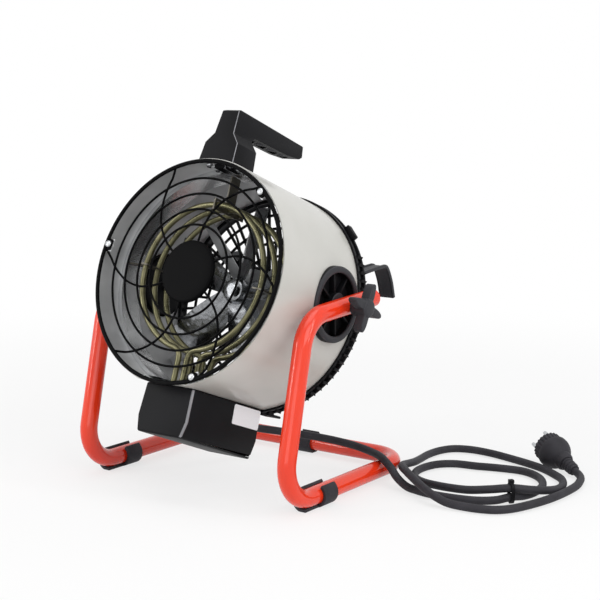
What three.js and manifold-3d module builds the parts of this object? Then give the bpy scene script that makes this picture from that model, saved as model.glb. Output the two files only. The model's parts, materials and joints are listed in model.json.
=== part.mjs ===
// Portable electric fan heater: a tilting sheet-metal drum with a wire outlet grille, hung by two
// star knobs in a bent tube stand, with a control box under the drum and a rubber mains cord.
// Millimetres, +Z up, outlet towards -Y. The origin is on the floor, at the middle of the box that
// holds everything but the cord.

import * as THREE from 'three';
import { mergeVertices } from 'three/addons/utils/BufferGeometryUtils.js';
import Module from 'manifold-3d';

const wasm = await Module();
wasm.setup();

// General
const fit = 0.3; // clearance between separate pieces
const overrun = 6; // how far a cutting body runs past what it cuts
const fullTurn = 2 * Math.PI;

// Stand
const tubeRadius = 10;
const tubeWall = 1.6;
const tubeBendRadius = 40;
const standToDrum = 13.8; // drum's side to the tube's centre line
const standDepth = 244.5; // front corner to crossbar, on centre lines
const legRise = 44.5; // how far the leg leans back
const topRunAngle = THREE.MathUtils.degToRad(2.7);
const topRunPastPivot = 52;
const footThickness = 3.2;
const footLength = 24;
const footSetBack = 62; // front corner to the front feet
const footReach = 24; // how far the clip's left half runs on forwards
const footBulge = 0.7; // the clip's round below the floor, cut to a flat
const footReachAngle = THREE.MathUtils.degToRad(290); // where that half ends, under the tube
const footGapAngle = THREE.MathUtils.degToRad(70);

// Pivot between stand and drum, on the drum's axis
const pivotY = 120; // behind the stand's front corner
const pivotToFloor = 83.5; // more than the drum's radius
const tiltAngle = THREE.MathUtils.degToRad(20.95); // outlet raised
const boltRadius = 4;
const boltHeadRadius = 8;
const boltHeadThickness = 5;
const boltClearance = 0.3;

// Drum. Its own frame has y = 0 at the pivot, -y towards the outlet.
const drumRadius = 126.5;
const sheet = 1.2;
const pivotToRear = 40.8;
const baseHalfWidth = 33; // flat under the drum that carries the control box
const baseRise = 4; // how far that flat lies inside the round
const flankHalfWidth = 50; // where the flanks of the flat leave the round
const earWidth = 14;
const earDepth = 11;

// Outlet grille
const rimWidth = 4.5;
const rimThickness = 3.5;
const grilleDish = 5.4; // rim to the plane of the wires
const grilleDishWidth = 10;
const wireRadius = 1.3;
const outerRingInset = 21.9; // drum's outside to the largest wire ring
const ringCount = 4;
const discRadius = 34.6;
const discThickness = 1.6;
const spokeCount = 6;
const spokeSweep = THREE.MathUtils.degToRad(32);
const spokeStart = THREE.MathUtils.degToRad(52.2);
const spokeBesideScrew = THREE.MathUtils.degToRad(2.2);
const tabWidth = 13;
const tabLength = 11;
const tabThickness = 2;
const screwRadius = 2;
const screwHeadRadius = 4;
const screwHeadHeight = 2.4;
const screwLength = 9;

// Heating elements, their shield and supports
const rodRadius = 3.3;
const rodPlay = 0.9; // in the holes of the supports
const elementInset = 44.5; // drum's outside to the rings
const elementSetBack = 26.6; // drum's front edge to the first ring
const elementStep = 21.5; // from ring to ring along the axis
const elementCount = 3;
const elementLegHalfGap = 6;
const elementLegBend = 8; // how far each end is drawn in from the ring to its leg
const elementLegDrop = 12;
const elementLegReach = 9; // below the drum's flat
const shieldGap = 3.5;
const shieldFrontInset = 10; // first ring to the shield's front edge
const shieldRearInset = 2; // shield's rear edge to the last ring
const shieldFacets = 28;
const supportThickness = 1.6;
const supportMargin = 2;
const supportStemWidth = 16;
const supportAngles = [90, 175, 355].map((angle) => THREE.MathUtils.degToRad(angle));

// Fan and motor
const hubRadius = 15;
const hubLength = 22;
const fanInset = 28.5; // drum's outside to the blades' tips
const fanSetBack = 13; // last element to the hub's front
const bladeCount = 5;
const bladeStart = THREE.MathUtils.degToRad(14); // first blade from the drum's right
const bladeThickness = 1.4;
const bladeChord = 46;
const bladePitch = THREE.MathUtils.degToRad(-34);
const shaftRadius = 4;
const motorRadius = 36;
const motorLength = 34;
const motorGap = 9; // hub to motor
const motorOverhang = 0.2; // motor's rear behind the drum's
const motorNeck = 10;
const strapWidth = 12;
const strapThickness = 2;
const strapFoot = 16;

// Rear guard
const guardOverhang = 5.5; // teeth's tips outside the drum
const guardSkirt = 2; // length of the skirt over the drum's rear edge
const guardDepth = 13.2; // behind the drum's rear edge
const guardWall = 2.4;
const toothCount = 84;
const toothDepth = 3;
const toothlessArc = THREE.MathUtils.degToRad(116); // over the drum's top, where the rim is plain
const guardRingWidth = 2.6;
const guardRingRadii = [56, 90];
const guardRibCount = 12;
const guardRibWidth = 2.6;
const guardHubRadius = 24;
const guardFootHalfWidth = 11;
const guardFootReach = 22;
const guardFootHeight = 3;
const guardPostRadius = 6;
const guardNubWidth = 18;
const guardNubHeight = 2.5;
const guardNubLength = 8;
const guardNubAngle = THREE.MathUtils.degToRad(45);
const guardFootOffset = 22;

// Cable hooks on the rear guard
const hookWidth = 20;
const hookThickness = 4;
const hookHeight = 48; // above the drum's axis
const hookFoot = 12;
const hookArmLength = 42;
const hookArmRise = 20;
const hookCrown = 3;
const hookPlateDrop = 29.5;
const hookPlateFlare = 27;
const hookKnee = 5;
const hookInset = 19.5; // drum's outside to the middle of the strap

// Pivot cups in the drum's sides
const cupRadius = 42;
const cupBore = 34.5;
const cupPlay = 0.8; // rim to the stand's tube
const cupDepth = 13;
const cupFloor = 2.4;
const cupFlange = 5; // rim lying on the drum around its barrel
const cupHubRadius = 13;
const cupRibCount = 8;
const cupRibWidth = 2.4;
const cupRibHeight = 9;

// Star knobs
const knobCollarRadius = 9.5;
const knobCollarLength = 8;
const knobCoreRadius = 10.5;
const knobThickness = 11;
const knobReach = 27.5;
const knobArmWidth = 6.4;
const knobRootWidth = 12;
const knobEdge = 1.6;
const knobArmCount = 4;
const knobTurn = THREE.MathUtils.degToRad(-7);
const boltStop = 6; // bolt's end below the knob's face

// Handle
const handleSetBack = 6.6; // drum's front edge to the post
const handleRise = 62; // drum to the top of the grip
const handleLean = 7;
const handlePostDepth = 39;
const handleLength = 137;
const handleFootHalfWidth = 24;
const handleShoulderHalfWidth = 22.5;
const handleNeckHalfWidth = 13.2;
const handleTopHalfWidth = 10;
const handleShoulderHeight = 21.5;
const handleNeckHeight = 33;
const handleGripRoot = 39.5; // height of the grip's underside where it leaves the post
const handleGripSlope = 2;
const handleEndLength = 30;
const handleEndRise = 5;
const handleGripEnd = 14;
const handleGripWall = 2.2;
const handleTopFall = 0.5;
const handleCorner = 5;
const handleEdge = 1.5;
const handleRibPitch = 11;
const cellShare = 0.8;
const handleScrewSpacingX = 30;
const handleScrewSpacingY = 16;
const handleScrewSetBack = 9;

// Control box
const boxHalfWidth = 33;
const boxSetBack = 15.6; // drum's front edge to the box
const boxRearInset = 5.8; // rear panel to the drum's rear edge
const boxTaper = 3.5; // less height at the front than at the rear
const boxFloorMargin = 4; // dials' rims to the box's lower edge
const boxCrease = 37;
const boxBulge = 1.5;
const boxCrown = 1;
const boxBottomInset = 2;
const boxWall = 2.2;
const boxFrontRake = 2;
const boxRearRake = 2.7;
const panelThickness = 2.2;
const panelScrewInset = 8;
const labelLength = 49.5;
const labelHeight = 22;
const labelThickness = 0.4;
const labelDrop = 2.7;
const labelFromRear = 1;
const windowHalfWidth = 22;

// Controls on the box's rear panel
const dialRadius = 12;
const dialHeight = 13;
const dialGripRadius = 8.5;
const dialSpacing = 32;
const dialFromGland = 22.5; // cord's axis to the dials' axes
const dialStemRadius = 3;
const dialBodyRadius = 10.5;
const dialBodyLength = 18;
const terminalLength = 44;
const terminalWidth = 16;
const terminalHeight = 14;
const terminalPoles = 5;
const cutoutRadius = 8;
const cutoutHeight = 7;
const cutoutAngle = THREE.MathUtils.degToRad(250);

// Mains cord and plug
const cordRadius = 4.5;
const glandRadius = 8;
const glandNutRadius = 9;
const glandThread = 6.5;
const glandHexLength = 5;
const glandLength = 25;
const cordSides = 8;
const leadSteps = 14;
const loopSteps = 58;
const tailSteps = 18;
const ringTurn = THREE.MathUtils.degToRad(20);
const glandToGuard = 1; // gland's nut clear of the rear guard
const glandInside = 9;
const plugRadius = 19.5;
const plugFaceRadius = 18;
const plugFaceLength = 12;
const plugRimLength = 5;
const plugDomeLength = 15;
const plugNeckRadius = 11;
const plugNeckLength = 10;
const plugSleeveLength = 17;
const plugSleeveRadius = 6.4;
const plugPinRadius = 2.4;
const plugPinLength = 19;
const plugPinSpacing = 19;
const plugPinTurn = THREE.MathUtils.degToRad(37); // both pins behind the rim, as seen in front
const tieWidth = 3.6;
const tieThickness = 1.3;
const tieRoom = 1.3;
const tieTurn = THREE.MathUtils.degToRad(48);

// The cord's route in the stand's frame, points chosen along its centre line. It leaves the gland,
// crosses the right floor run, lies in two loose loops and ends at the plug.
const leadRoute = [
  [0, 149.6, 47.6], [14, 172, 41.6], [36, 186, 38], [67, 197, 34.6], [100, 199.5, 31.6],
  [124, 195, 29.6], [141, 187.5, 28.6], [153, 180.5, 26.4], [164, 175.5, 21],
];
const loopRoute = [
  [175, 171.5, 12.4], [190, 167.5, 5.8], [206, 164, 4.6], [227.5, 160.5, 4.6], [256, 163, 4.6],
  [277, 169, 4.6], [294, 180.5, 5.4], [304.5, 194.5, 7.4], [311, 212.5, 5.4], [313.5, 235.5, 4.6],
  [309.5, 260, 4.6], [297.5, 281.5, 4.6], [281, 295.5, 4.6], [263, 301.5, 4.6], [233, 296.5, 4.6],
  [211, 289.5, 4.6], [185, 283.5, 4.6], [170, 270, 4.6], [164, 249, 4.6], [166, 227, 4.6],
  [177, 207, 4.8], [197.5, 191, 6.6], [222, 180.5, 9.2], [240, 177, 10.6], [262, 177.5, 12],
  [284.5, 184.5, 14.8], [304.5, 194.5, 17.2], [320, 209.5, 14.4], [328.5, 229, 10.5],
  [331, 254, 6.5], [325.5, 279, 4.6], [315, 297, 4.6], [301, 309, 4.6], [279, 324, 4.6],
  [255, 334, 4.6], [233, 341, 4.6], [194.5, 350.5, 4.6], [167, 350.5, 4.6], [149.5, 342, 4.6],
  [141, 325.5, 4.6], [138.5, 302.5, 4.6], [142.5, 277, 5.6], [150, 251, 9], [155.5, 228, 13],
  [161, 207, 17], [171, 188.5, 20.4], [185.5, 173.5, 21.2], [204, 159.5, 18.6],
  [223, 147.5, 15],
];
const tailRoute = [
  [241, 140.5, 10.5], [257, 139.5, 6.2], [280, 142, 4.6], [299, 146, 4.6], [311, 152.5, 4.6],
  [321, 165, 4.6], [331, 191.5, 4.6], [338.5, 225.5, 4.6], [341, 258, 4.6], [340, 283, 4.6],
  [336, 300, 4.6], [331.5, 312.5, 4.8],
];
const plugPlace = [279.5, 350]; // middle of the plug's rim
const plugAzimuth = THREE.MathUtils.degToRad(149.5);
const plugTilt = THREE.MathUtils.degToRad(15.5);
const tiePlace = [304.5, 194.5];

// Colours
const paints = {
  red: new THREE.MeshStandardMaterial({ color: 0xd83a22, roughness: 0.3, metalness: 0.1 }),
  drum: new THREE.MeshStandardMaterial({ color: 0xc9c8c3, roughness: 0.45, metalness: 0.2 }),
  black: new THREE.MeshStandardMaterial({ color: 0x1b1b1d, roughness: 0.5, metalness: 0 }),
  grille: new THREE.MeshStandardMaterial({ color: 0x121213, roughness: 0.35, metalness: 0.4 }),
  rubber: new THREE.MeshStandardMaterial({ color: 0x2b2b2e, roughness: 0.8, metalness: 0 }),
  zinc: new THREE.MeshStandardMaterial({ color: 0x8f9193, roughness: 0.4, metalness: 0.9 }),
  screw: new THREE.MeshStandardMaterial({ color: 0xc8cacc, roughness: 0.25, metalness: 1 }),
  rod: new THREE.MeshStandardMaterial({ color: 0x7b7857, roughness: 0.45, metalness: 0.6 }),
  fan: new THREE.MeshStandardMaterial({ color: 0xb9bcbe, roughness: 0.25, metalness: 1 }),
  motor: new THREE.MeshStandardMaterial({ color: 0x2a2a2c, roughness: 0.5, metalness: 0.5 }),
  label: new THREE.MeshStandardMaterial({ color: 0xe9e9e6, roughness: 0.5, metalness: 0 }),
  ivory: new THREE.MeshStandardMaterial({ color: 0xd9d4c4, roughness: 0.6, metalness: 0 }),
};

// Sizes and places that follow from those above
const standHalfWidth = drumRadius + standToDrum;
const pivotZ = drumRadius + pivotToFloor;
const baseDepth = drumRadius - baseRise;
const elementDepth = elementSetBack + elementStep * (elementCount - 1);
const drumLength = elementDepth + fanSetBack + hubLength + motorGap + motorLength - motorOverhang;
const ringPitch = (drumRadius - outerRingInset - discRadius) / ringCount;
const elementRadius = drumRadius - elementInset;
const fanRadius = drumRadius - fanInset;
const guardRadius = drumRadius + guardOverhang;
const glandDrop = baseRise + guardOverhang + glandNutRadius + glandToGuard;
const boxLength = drumLength - boxSetBack - boxRearInset;
const dialDrop = glandDrop + dialFromGland;
const boxHeightRear = dialDrop + dialRadius + boxFloorMargin;
const boxHeightFront = boxHeightRear - boxTaper;
const hookOffset = drumRadius - hookInset;
const floorRunZ = tubeRadius + footThickness;
const legTopZ = pivotZ - (pivotY - legRise) * Math.tan(topRunAngle);
const drumFront = pivotToRear - drumLength;
const drumRear = pivotToRear;
const boxFront = drumFront + boxSetBack;
const boxRear = boxFront + boxLength;
const shieldRadius = drumRadius - sheet - fit;
const rimRadius = drumRadius - sheet;
const elementFront = drumFront + elementSetBack;
const elementRear = elementFront + elementStep * (elementCount - 1);
const hubFront = elementRear + fanSetBack;
const motorFront = hubFront + hubLength + motorGap;
const guardRear = drumRear + guardDepth;
const tubeInnerX = standHalfWidth - tubeRadius;
const tubeOuterX = standHalfWidth + tubeRadius;
const cupFace = tubeInnerX - cupPlay;
const cupBack = cupFace - cupDepth;
const boltEnd = tubeOuterX + fit + knobCollarLength + knobThickness - boltStop;
const glandEnd = boxRear + glandLength;
const screwAngles = [0, 1, 2].map((i) => spokeStart - spokeBesideScrew + (i * fullTurn) / 3);
const screwCircle = drumRadius - earDepth / 2 - sheet;

// Turns a closed geometry into a solid that can be cut and joined.
function solidOf(geometry) {
  const bare = geometry.clone();
  bare.deleteAttribute('normal');
  bare.deleteAttribute('uv');
  const merged = mergeVertices(bare);
  return new wasm.Manifold(
    new wasm.Mesh({
      numProp: 3,
      vertProperties: new Float32Array(merged.attributes.position.array),
      triVerts: new Uint32Array(merged.index.array),
    }),
  );
}

// Gives a cut or joined solid back as a geometry.
function geometryOf(solid) {
  const shape = solid.getMesh();
  const geometry = new THREE.BufferGeometry();
  geometry.setAttribute('position', new THREE.BufferAttribute(shape.vertProperties, 3));
  geometry.setIndex(new THREE.BufferAttribute(shape.triVerts, 1));
  geometry.computeVertexNormals();
  return geometry;
}

// Joins some geometries and cuts others out of them.
function carve(joined, cuts = []) {
  let solid = solidOf(joined[0]);
  for (const extra of joined.slice(1)) solid = solid.add(solidOf(extra));
  for (const cut of cuts) solid = solid.subtract(solidOf(cut));
  return geometryOf(solid);
}

function piece(name, geometry, material) {
  const mesh = new THREE.Mesh(geometry, material.clone());
  mesh.name = name;
  return mesh;
}

// A block between two corners.
function block(x0, x1, y0, y1, z0, z1) {
  const geometry = new THREE.BoxGeometry(x1 - x0, y1 - y0, z1 - z0);
  return geometry.translate((x0 + x1) / 2, (y0 + y1) / 2, (z0 + z1) / 2);
}

// A body of revolution about Y from (radius, y) pairs.
function turned(profile, steps) {
  return new THREE.LatheGeometry(profile.map(([r, y]) => new THREE.Vector2(r, y)), steps);
}

// A turned ring with a rectangular section.
function band(inner, outer, y0, y1, steps) {
  return turned([[inner, y0], [outer, y0], [outer, y1], [inner, y1], [inner, y0]], steps);
}

// A plain rod along Y.
function rod(radius, y0, y1, steps = 8) {
  return new THREE.CylinderGeometry(radius, radius, y1 - y0, steps).translate(0, (y0 + y1) / 2, 0);
}

// A flat outline drawn in x and z, made thick along Y. An arc takes twice the given segments.
function plateY(shape, y0, y1, curveSegments = 8) {
  const geometry = new THREE.ExtrudeGeometry(shape, {
    depth: y1 - y0, bevelEnabled: false, curveSegments,
  });
  return geometry.rotateX(Math.PI / 2).translate(0, y1, 0);
}

// A flat outline drawn in y and z, made thick along X.
function plateX(shape, x0, x1, curveSegments = 8) {
  const geometry = new THREE.ExtrudeGeometry(shape, {
    depth: x1 - x0, bevelEnabled: false, curveSegments,
  });
  const axes = new THREE.Matrix4().makeBasis(
    new THREE.Vector3(0, 1, 0), new THREE.Vector3(0, 0, 1), new THREE.Vector3(1, 0, 0),
  );
  return geometry.applyMatrix4(axes).translate(x0, 0, 0);
}

function outline(points) {
  return new THREE.Shape(points.map(([x, y]) => new THREE.Vector2(x, y)));
}

function disc(radius) {
  const shape = new THREE.Shape();
  shape.absarc(0, 0, radius, 0, fullTurn, false);
  return shape;
}

// A chain of rings with a set heading at each, so that long straights need no rings of their own.
class RingPath extends THREE.Curve {
  constructor(places, headings) {
    super();
    this.places = places;
    this.headings = headings;
  }

  spot(list, t, target) {
    const position = t * (list.length - 1);
    const index = Math.min(Math.floor(position), list.length - 2);
    return target.copy(list[index]).lerp(list[index + 1], position - index);
  }

  getPoint(t, target = new THREE.Vector3()) {
    return this.spot(this.places, t, target);
  }

  getTangent(t, target = new THREE.Vector3()) {
    return this.spot(this.headings, t, target).normalize();
  }

  getUtoTmapping(u) {
    return u;
  }
}

// Straights through the given corners, joined by arcs of one bend radius.
function bentPath(corners, bendRadius, stepsPerBend) {
  const places = [];
  const headings = [];
  const add = (place, heading) => {
    places.push(place);
    headings.push(heading);
  };
  const way = (i) => corners[i + 1].clone().sub(corners[i]).normalize();
  add(corners[0].clone(), way(0));
  for (let i = 1; i < corners.length - 1; i += 1) {
    const before = way(i - 1);
    const after = way(i);
    const turn = before.angleTo(after);
    const tangentLength = bendRadius * Math.tan(turn / 2);
    const axis = before.clone().cross(after).normalize();
    const start = corners[i].clone().addScaledVector(before, -tangentLength);
    const inward = axis.clone().cross(before);
    const centre = start.clone().addScaledVector(inward, bendRadius);
    for (let k = 0; k <= stepsPerBend; k += 1) {
      const angle = (turn * k) / stepsPerBend;
      const spoke = start.clone().sub(centre).applyAxisAngle(axis, angle);
      add(centre.clone().add(spoke), before.clone().applyAxisAngle(axis, angle));
    }
  }
  add(corners[corners.length - 1].clone(), way(corners.length - 2));
  return new RingPath(places, headings);
}

// A smooth run through points, sampled in even steps, with its end rings square to set headings.
function smoothPath(curve, steps, firstHeading, lastHeading) {
  const places = curve.getSpacedPoints(steps);
  const headings = places.map((place, i) => curve.getTangentAt(i / steps));
  if (firstHeading) headings[0] = firstHeading;
  if (lastHeading) headings[steps] = lastHeading;
  return new RingPath(places, headings);
}

function tubeAlong(path, radius, sides, bore = 0) {
  const section = disc(radius);
  if (bore > 0) {
    const hole = new THREE.Path();
    hole.absarc(0, 0, bore, 0, fullTurn, true);
    section.holes.push(hole);
  }
  return new THREE.ExtrudeGeometry(section, {
    steps: path.places.length - 1, bevelEnabled: false, curveSegments: sides / 2,
    extrudePath: path,
  });
}

// Stand: one bent tube from the right pivot, down, back, across and up to the left pivot.
function standPath() {
  const topEndY = pivotY + topRunPastPivot;
  const topEndZ = pivotZ + topRunPastPivot * Math.tan(topRunAngle);
  const side = (x) => [
    new THREE.Vector3(x, topEndY, topEndZ),
    new THREE.Vector3(x, legRise, legTopZ),
    new THREE.Vector3(x, 0, floorRunZ),
    new THREE.Vector3(x, standDepth, floorRunZ),
  ];
  const corners = [...side(standHalfWidth), ...side(-standHalfWidth).reverse()];
  return bentPath(corners, tubeBendRadius, 4);
}

function standTube() {
  const tube = tubeAlong(standPath(), tubeRadius, 10, tubeRadius - tubeWall);
  const hole = rod(boltRadius + boltClearance, -tubeOuterX - overrun, tubeOuterX + overrun, 12);
  hole.rotateZ(-Math.PI / 2).translate(0, pivotY, pivotZ);
  return piece('stand_tube', carve([tube], [hole]), paints.red);
}

// Rubber foot: an open clip around the tube, cut flat underneath, whose left half runs on forwards.
function footClip(name, reach, place, turn) {
  const outer = tubeRadius + footThickness + footBulge;
  const from = Math.PI / 2 + footGapAngle / 2;
  const band = (to, y0, y1) => {
    const sector = new THREE.Shape();
    sector.absarc(0, 0, outer, from, to, false);
    sector.lineTo(0, 0);
    return plateY(sector, y0, y1, 7);
  };
  const parts = [band(from + fullTurn - footGapAngle, -footLength / 2, footLength / 2)];
  if (reach > 0) parts.push(band(footReachAngle, -footLength / 2 - reach, 0));
  const room = tubeAlong(standPath(), tubeRadius + fit, 10);
  room.translate(-place.x, -place.y, -place.z).rotateZ(-turn);
  const floor = block(
    -2 * outer, 2 * outer, -footLength - reach, footLength, -2 * outer, -floorRunZ,
  );
  const foot = piece(name, carve(parts, [room, floor]), paints.rubber);
  foot.position.copy(place);
  foot.rotation.z = turn;
  return foot;
}

function feet() {
  const group = new THREE.Group();
  for (const [side, x] of [['left', -standHalfWidth], ['right', standHalfWidth]]) {
    const place = new THREE.Vector3(x, footSetBack + footLength / 2, floorRunZ);
    group.add(footClip(`foot_clip_front_${side}`, footReach, place, 0));
  }
  const middle = new THREE.Vector3(0, standDepth, floorRunZ);
  group.add(footClip('foot_clip_rear', 0, middle, Math.PI / 2));
  return group;
}

// Drum: rolled sheet with a flat and two flanks under it.
function drumOutline(inset) {
  const radius = drumRadius - inset;
  const edge = Math.asin(Math.min(flankHalfWidth / drumRadius, 1));
  const shape = new THREE.Shape();
  shape.absarc(0, 0, radius, -Math.PI / 2 + edge, (3 * Math.PI) / 2 - edge, false);
  shape.lineTo(-baseHalfWidth, -baseDepth + inset);
  shape.lineTo(baseHalfWidth, -baseDepth + inset);
  return shape;
}

function drumEar(angle, y) {
  const ear = block(
    drumRadius - sheet / 2 - earDepth, drumRadius - sheet / 2, y, y + sheet, -earWidth / 2,
    earWidth / 2,
  );
  return ear.rotateY(-angle);
}

function outerCasing() {
  const outer = plateY(drumOutline(0), drumFront, drumRear, 28);
  const hollow = plateY(drumOutline(sheet), drumFront - overrun, drumRear + overrun, 28);
  const shell = geometryOf(solidOf(outer).subtract(solidOf(hollow)));
  const ears = screwAngles.map((angle) => drumEar(angle, drumFront));
  ears.push(...guardScrewAngles().map((angle) => drumEar(angle, drumRear - sheet)));
  const cuts = [cupBarrel(1, fit), cupBarrel(-1, fit)];
  for (const angle of screwAngles) {
    cuts.push(screwRod(screwRadius + fit).translate(screwCircle, 0, 0).rotateY(-angle));
  }
  for (const angle of guardScrewAngles()) {
    const hole = rod(screwRadius + fit, drumRear - overrun, drumRear + overrun);
    cuts.push(hole.translate(screwCircle, 0, 0).rotateY(-angle));
  }
  for (const [angle, y] of handleScrewPlaces()) {
    const hole = rod(screwRadius + fit, drumRadius - overrun, drumRadius + overrun);
    cuts.push(radial(hole, 0, angle, y));
  }
  const windowFront = elementFront - rodRadius * 2;
  const windowRear = elementRear + rodRadius * 2;
  cuts.push(block(
    -windowHalfWidth, windowHalfWidth, windowFront, windowRear,
    -baseDepth - overrun, -baseDepth + overrun,
  ));
  return piece('outer_casing', carve([shell, ...ears], cuts), paints.drum);
}

// A rod along Z at a place on the drum's top or bottom.
function upright(radius, z0, z1, x, y, steps = 12) {
  return rod(radius, z0, z1, steps).rotateX(Math.PI / 2).translate(x, y, 0);
}

function screwRod(radius) {
  return rod(radius, drumFront - overrun, drumFront + overrun);
}

// Outlet grille: outer rim, wire rings, curved spokes and three screw tabs, all welded.
function spokePath(startAngle) {
  const outerRadius = rimRadius - rimWidth / 2;
  const dishTop = drumRadius - tabLength - wireRadius;
  const dishFoot = dishTop - grilleDishWidth;
  const middleRadius = (dishFoot + discRadius) / 2;
  const radii = [outerRadius, dishTop, dishFoot, middleRadius, discRadius - 2 * wireRadius];
  const points = radii.map((radius) => {
    const share = (outerRadius - radius) / (outerRadius - discRadius);
    const angle = startAngle + spokeSweep * Math.sin((share * Math.PI) / 2);
    const y = radius < dishTop ? grilleDish : 0;
    return new THREE.Vector3(radius * Math.cos(angle), y, radius * Math.sin(angle));
  });
  const path = smoothPath(new THREE.CatmullRomCurve3(points, false, 'centripetal'), 7);
  for (const place of path.places) place.y = Math.min(place.y, grilleDish);
  return path;
}

function frontGrille() {
  const rimFront = drumFront - fit - rimThickness;
  const spokeY = drumFront - fit - wireRadius;
  const ringY = spokeY + grilleDish - 1.5 * wireRadius;
  const parts = [band(rimRadius - rimWidth, rimRadius, rimFront, drumFront - fit, 40)];
  for (let i = 0; i < ringCount; i += 1) {
    const radius = discRadius + ringPitch * (i + 1);
    const ring = new THREE.TorusGeometry(radius, wireRadius, 4, 28);
    parts.push(ring.rotateX(Math.PI / 2).translate(0, ringY, 0));
  }
  for (let i = 0; i < spokeCount; i += 1) {
    const spoke = tubeAlong(spokePath(spokeStart + (i * fullTurn) / spokeCount), wireRadius, 4);
    parts.push(spoke.translate(0, spokeY, 0));
  }
  const hubY = spokeY + grilleDish;
  parts.push(band(discRadius - rimWidth, discRadius, hubY, hubY + wireRadius, 16));
  for (const angle of screwAngles) {
    const tab = block(
      drumRadius - tabLength, rimRadius - rimWidth / 2, drumFront - fit - tabThickness,
      drumFront - fit, -tabWidth / 2, tabWidth / 2,
    );
    parts.push(tab.rotateY(-angle));
  }
  const cuts = screwAngles.map((angle) =>
    screwRod(screwRadius + fit).translate(screwCircle, 0, 0).rotateY(-angle));
  const seats = screwAngles.map((angle) => {
    const seat = rod(screwHeadRadius + fit, rimFront - overrun, drumFront - fit - tabThickness, 10);
    return seat.translate(screwCircle, 0, 0).rotateY(-angle);
  });
  return piece('front_grille', carve(parts, [...cuts, ...seats]), paints.grille);
}

// Blank plate in front of the spokes' inner ends, with a small turned-back edge.
function grilleDisc() {
  const back = drumFront - 2 * fit + grilleDish - 2 * wireRadius;
  const profile = [
    [0, back - discThickness], [discRadius - discThickness, back - discThickness],
    [discRadius, back - discThickness / 2], [discRadius, back], [0, back],
  ];
  return piece('grille_disc', turned(profile, 24), paints.grille);
}

// Pan-head screw along +Y from its seat.
function panScrew(length) {
  const profile = [
    [0, -screwHeadHeight], [screwHeadRadius * 0.6, -screwHeadHeight],
    [screwHeadRadius, -screwHeadHeight / 2], [screwHeadRadius, 0], [screwRadius, 0],
    [screwRadius, length], [0, length],
  ];
  return turned(profile, 6);
}

function grilleScrews() {
  const group = new THREE.Group();
  screwAngles.forEach((angle, i) => {
    const screw = piece(`grille_screw_${i + 1}`, panScrew(screwLength), paints.screw);
    screw.position.set(
      screwCircle * Math.cos(angle), drumFront - 2 * fit - tabThickness,
      screwCircle * Math.sin(angle),
    );
    group.add(screw);
  });
  return group;
}

// Heat shield: a thin ring inside the drum, held off it by its two turned-out edges.
function heatShield() {
  const y0 = elementFront + shieldFrontInset;
  const y1 = elementRear - shieldRearInset;
  const inner = shieldRadius - shieldGap;
  const profile = [
    [inner - sheet, y0], [shieldRadius, y0], [shieldRadius, y0 + sheet], [inner, y0 + sheet],
    [inner, y1 - sheet], [shieldRadius, y1 - sheet], [shieldRadius, y1], [inner - sheet, y1],
    [inner - sheet, y0],
  ];
  const ring = turned(profile, shieldFacets);
  const foot = block(
    -flankHalfWidth, flankHalfWidth, y0 - overrun, y1 + overrun, -drumRadius - overrun,
    -baseDepth + 2 * shieldGap + sheet,
  );
  return piece('heat_shield', carve([ring], [foot]), paints.zinc);
}

// Tubular heating element: one open ring with both legs down through the drum's flat.
function elementPath(index) {
  const radius = elementRadius;
  const y = elementFront + index * elementStep;
  const bendAngle = Math.asin((elementLegHalfGap + elementLegBend) / radius);
  const start = -Math.PI / 2 + bendAngle;
  const sweep = fullTurn - 2 * bendAngle;
  const ringSteps = 26;
  const places = [];
  const headings = [];
  const legZ = -baseDepth - elementLegReach;
  const down = new THREE.Vector3(0, 0, -1);
  const up = new THREE.Vector3(0, 0, 1);
  const bendZ = radius * Math.sin(start) - elementLegDrop;
  places.push(new THREE.Vector3(elementLegHalfGap, y, legZ));
  headings.push(up);
  places.push(new THREE.Vector3(elementLegHalfGap, y, bendZ));
  headings.push(up);
  const kneeX = elementLegHalfGap + elementLegBend / 4;
  const kneeZ = bendZ + elementLegDrop * 0.7;
  places.push(new THREE.Vector3(kneeX, y, kneeZ));
  headings.push(new THREE.Vector3(1, 0, 1).normalize());
  for (let i = 0; i <= ringSteps; i += 1) {
    const angle = start + (sweep * i) / ringSteps;
    places.push(new THREE.Vector3(radius * Math.cos(angle), y, radius * Math.sin(angle)));
    headings.push(new THREE.Vector3(-Math.sin(angle), 0, Math.cos(angle)));
  }
  places.push(new THREE.Vector3(-kneeX, y, kneeZ));
  headings.push(new THREE.Vector3(1, 0, -1).normalize());
  places.push(new THREE.Vector3(-elementLegHalfGap, y, bendZ));
  headings.push(down);
  places.push(new THREE.Vector3(-elementLegHalfGap, y, legZ));
  headings.push(down);
  return new RingPath(places, headings);
}

function heatingElements() {
  const group = new THREE.Group();
  for (let i = 0; i < elementCount; i += 1) {
    const tube = tubeAlong(elementPath(i), rodRadius, 6);
    group.add(piece(`heating_element_${i + 1}`, tube, paints.rod));
  }
  return group;
}

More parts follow.
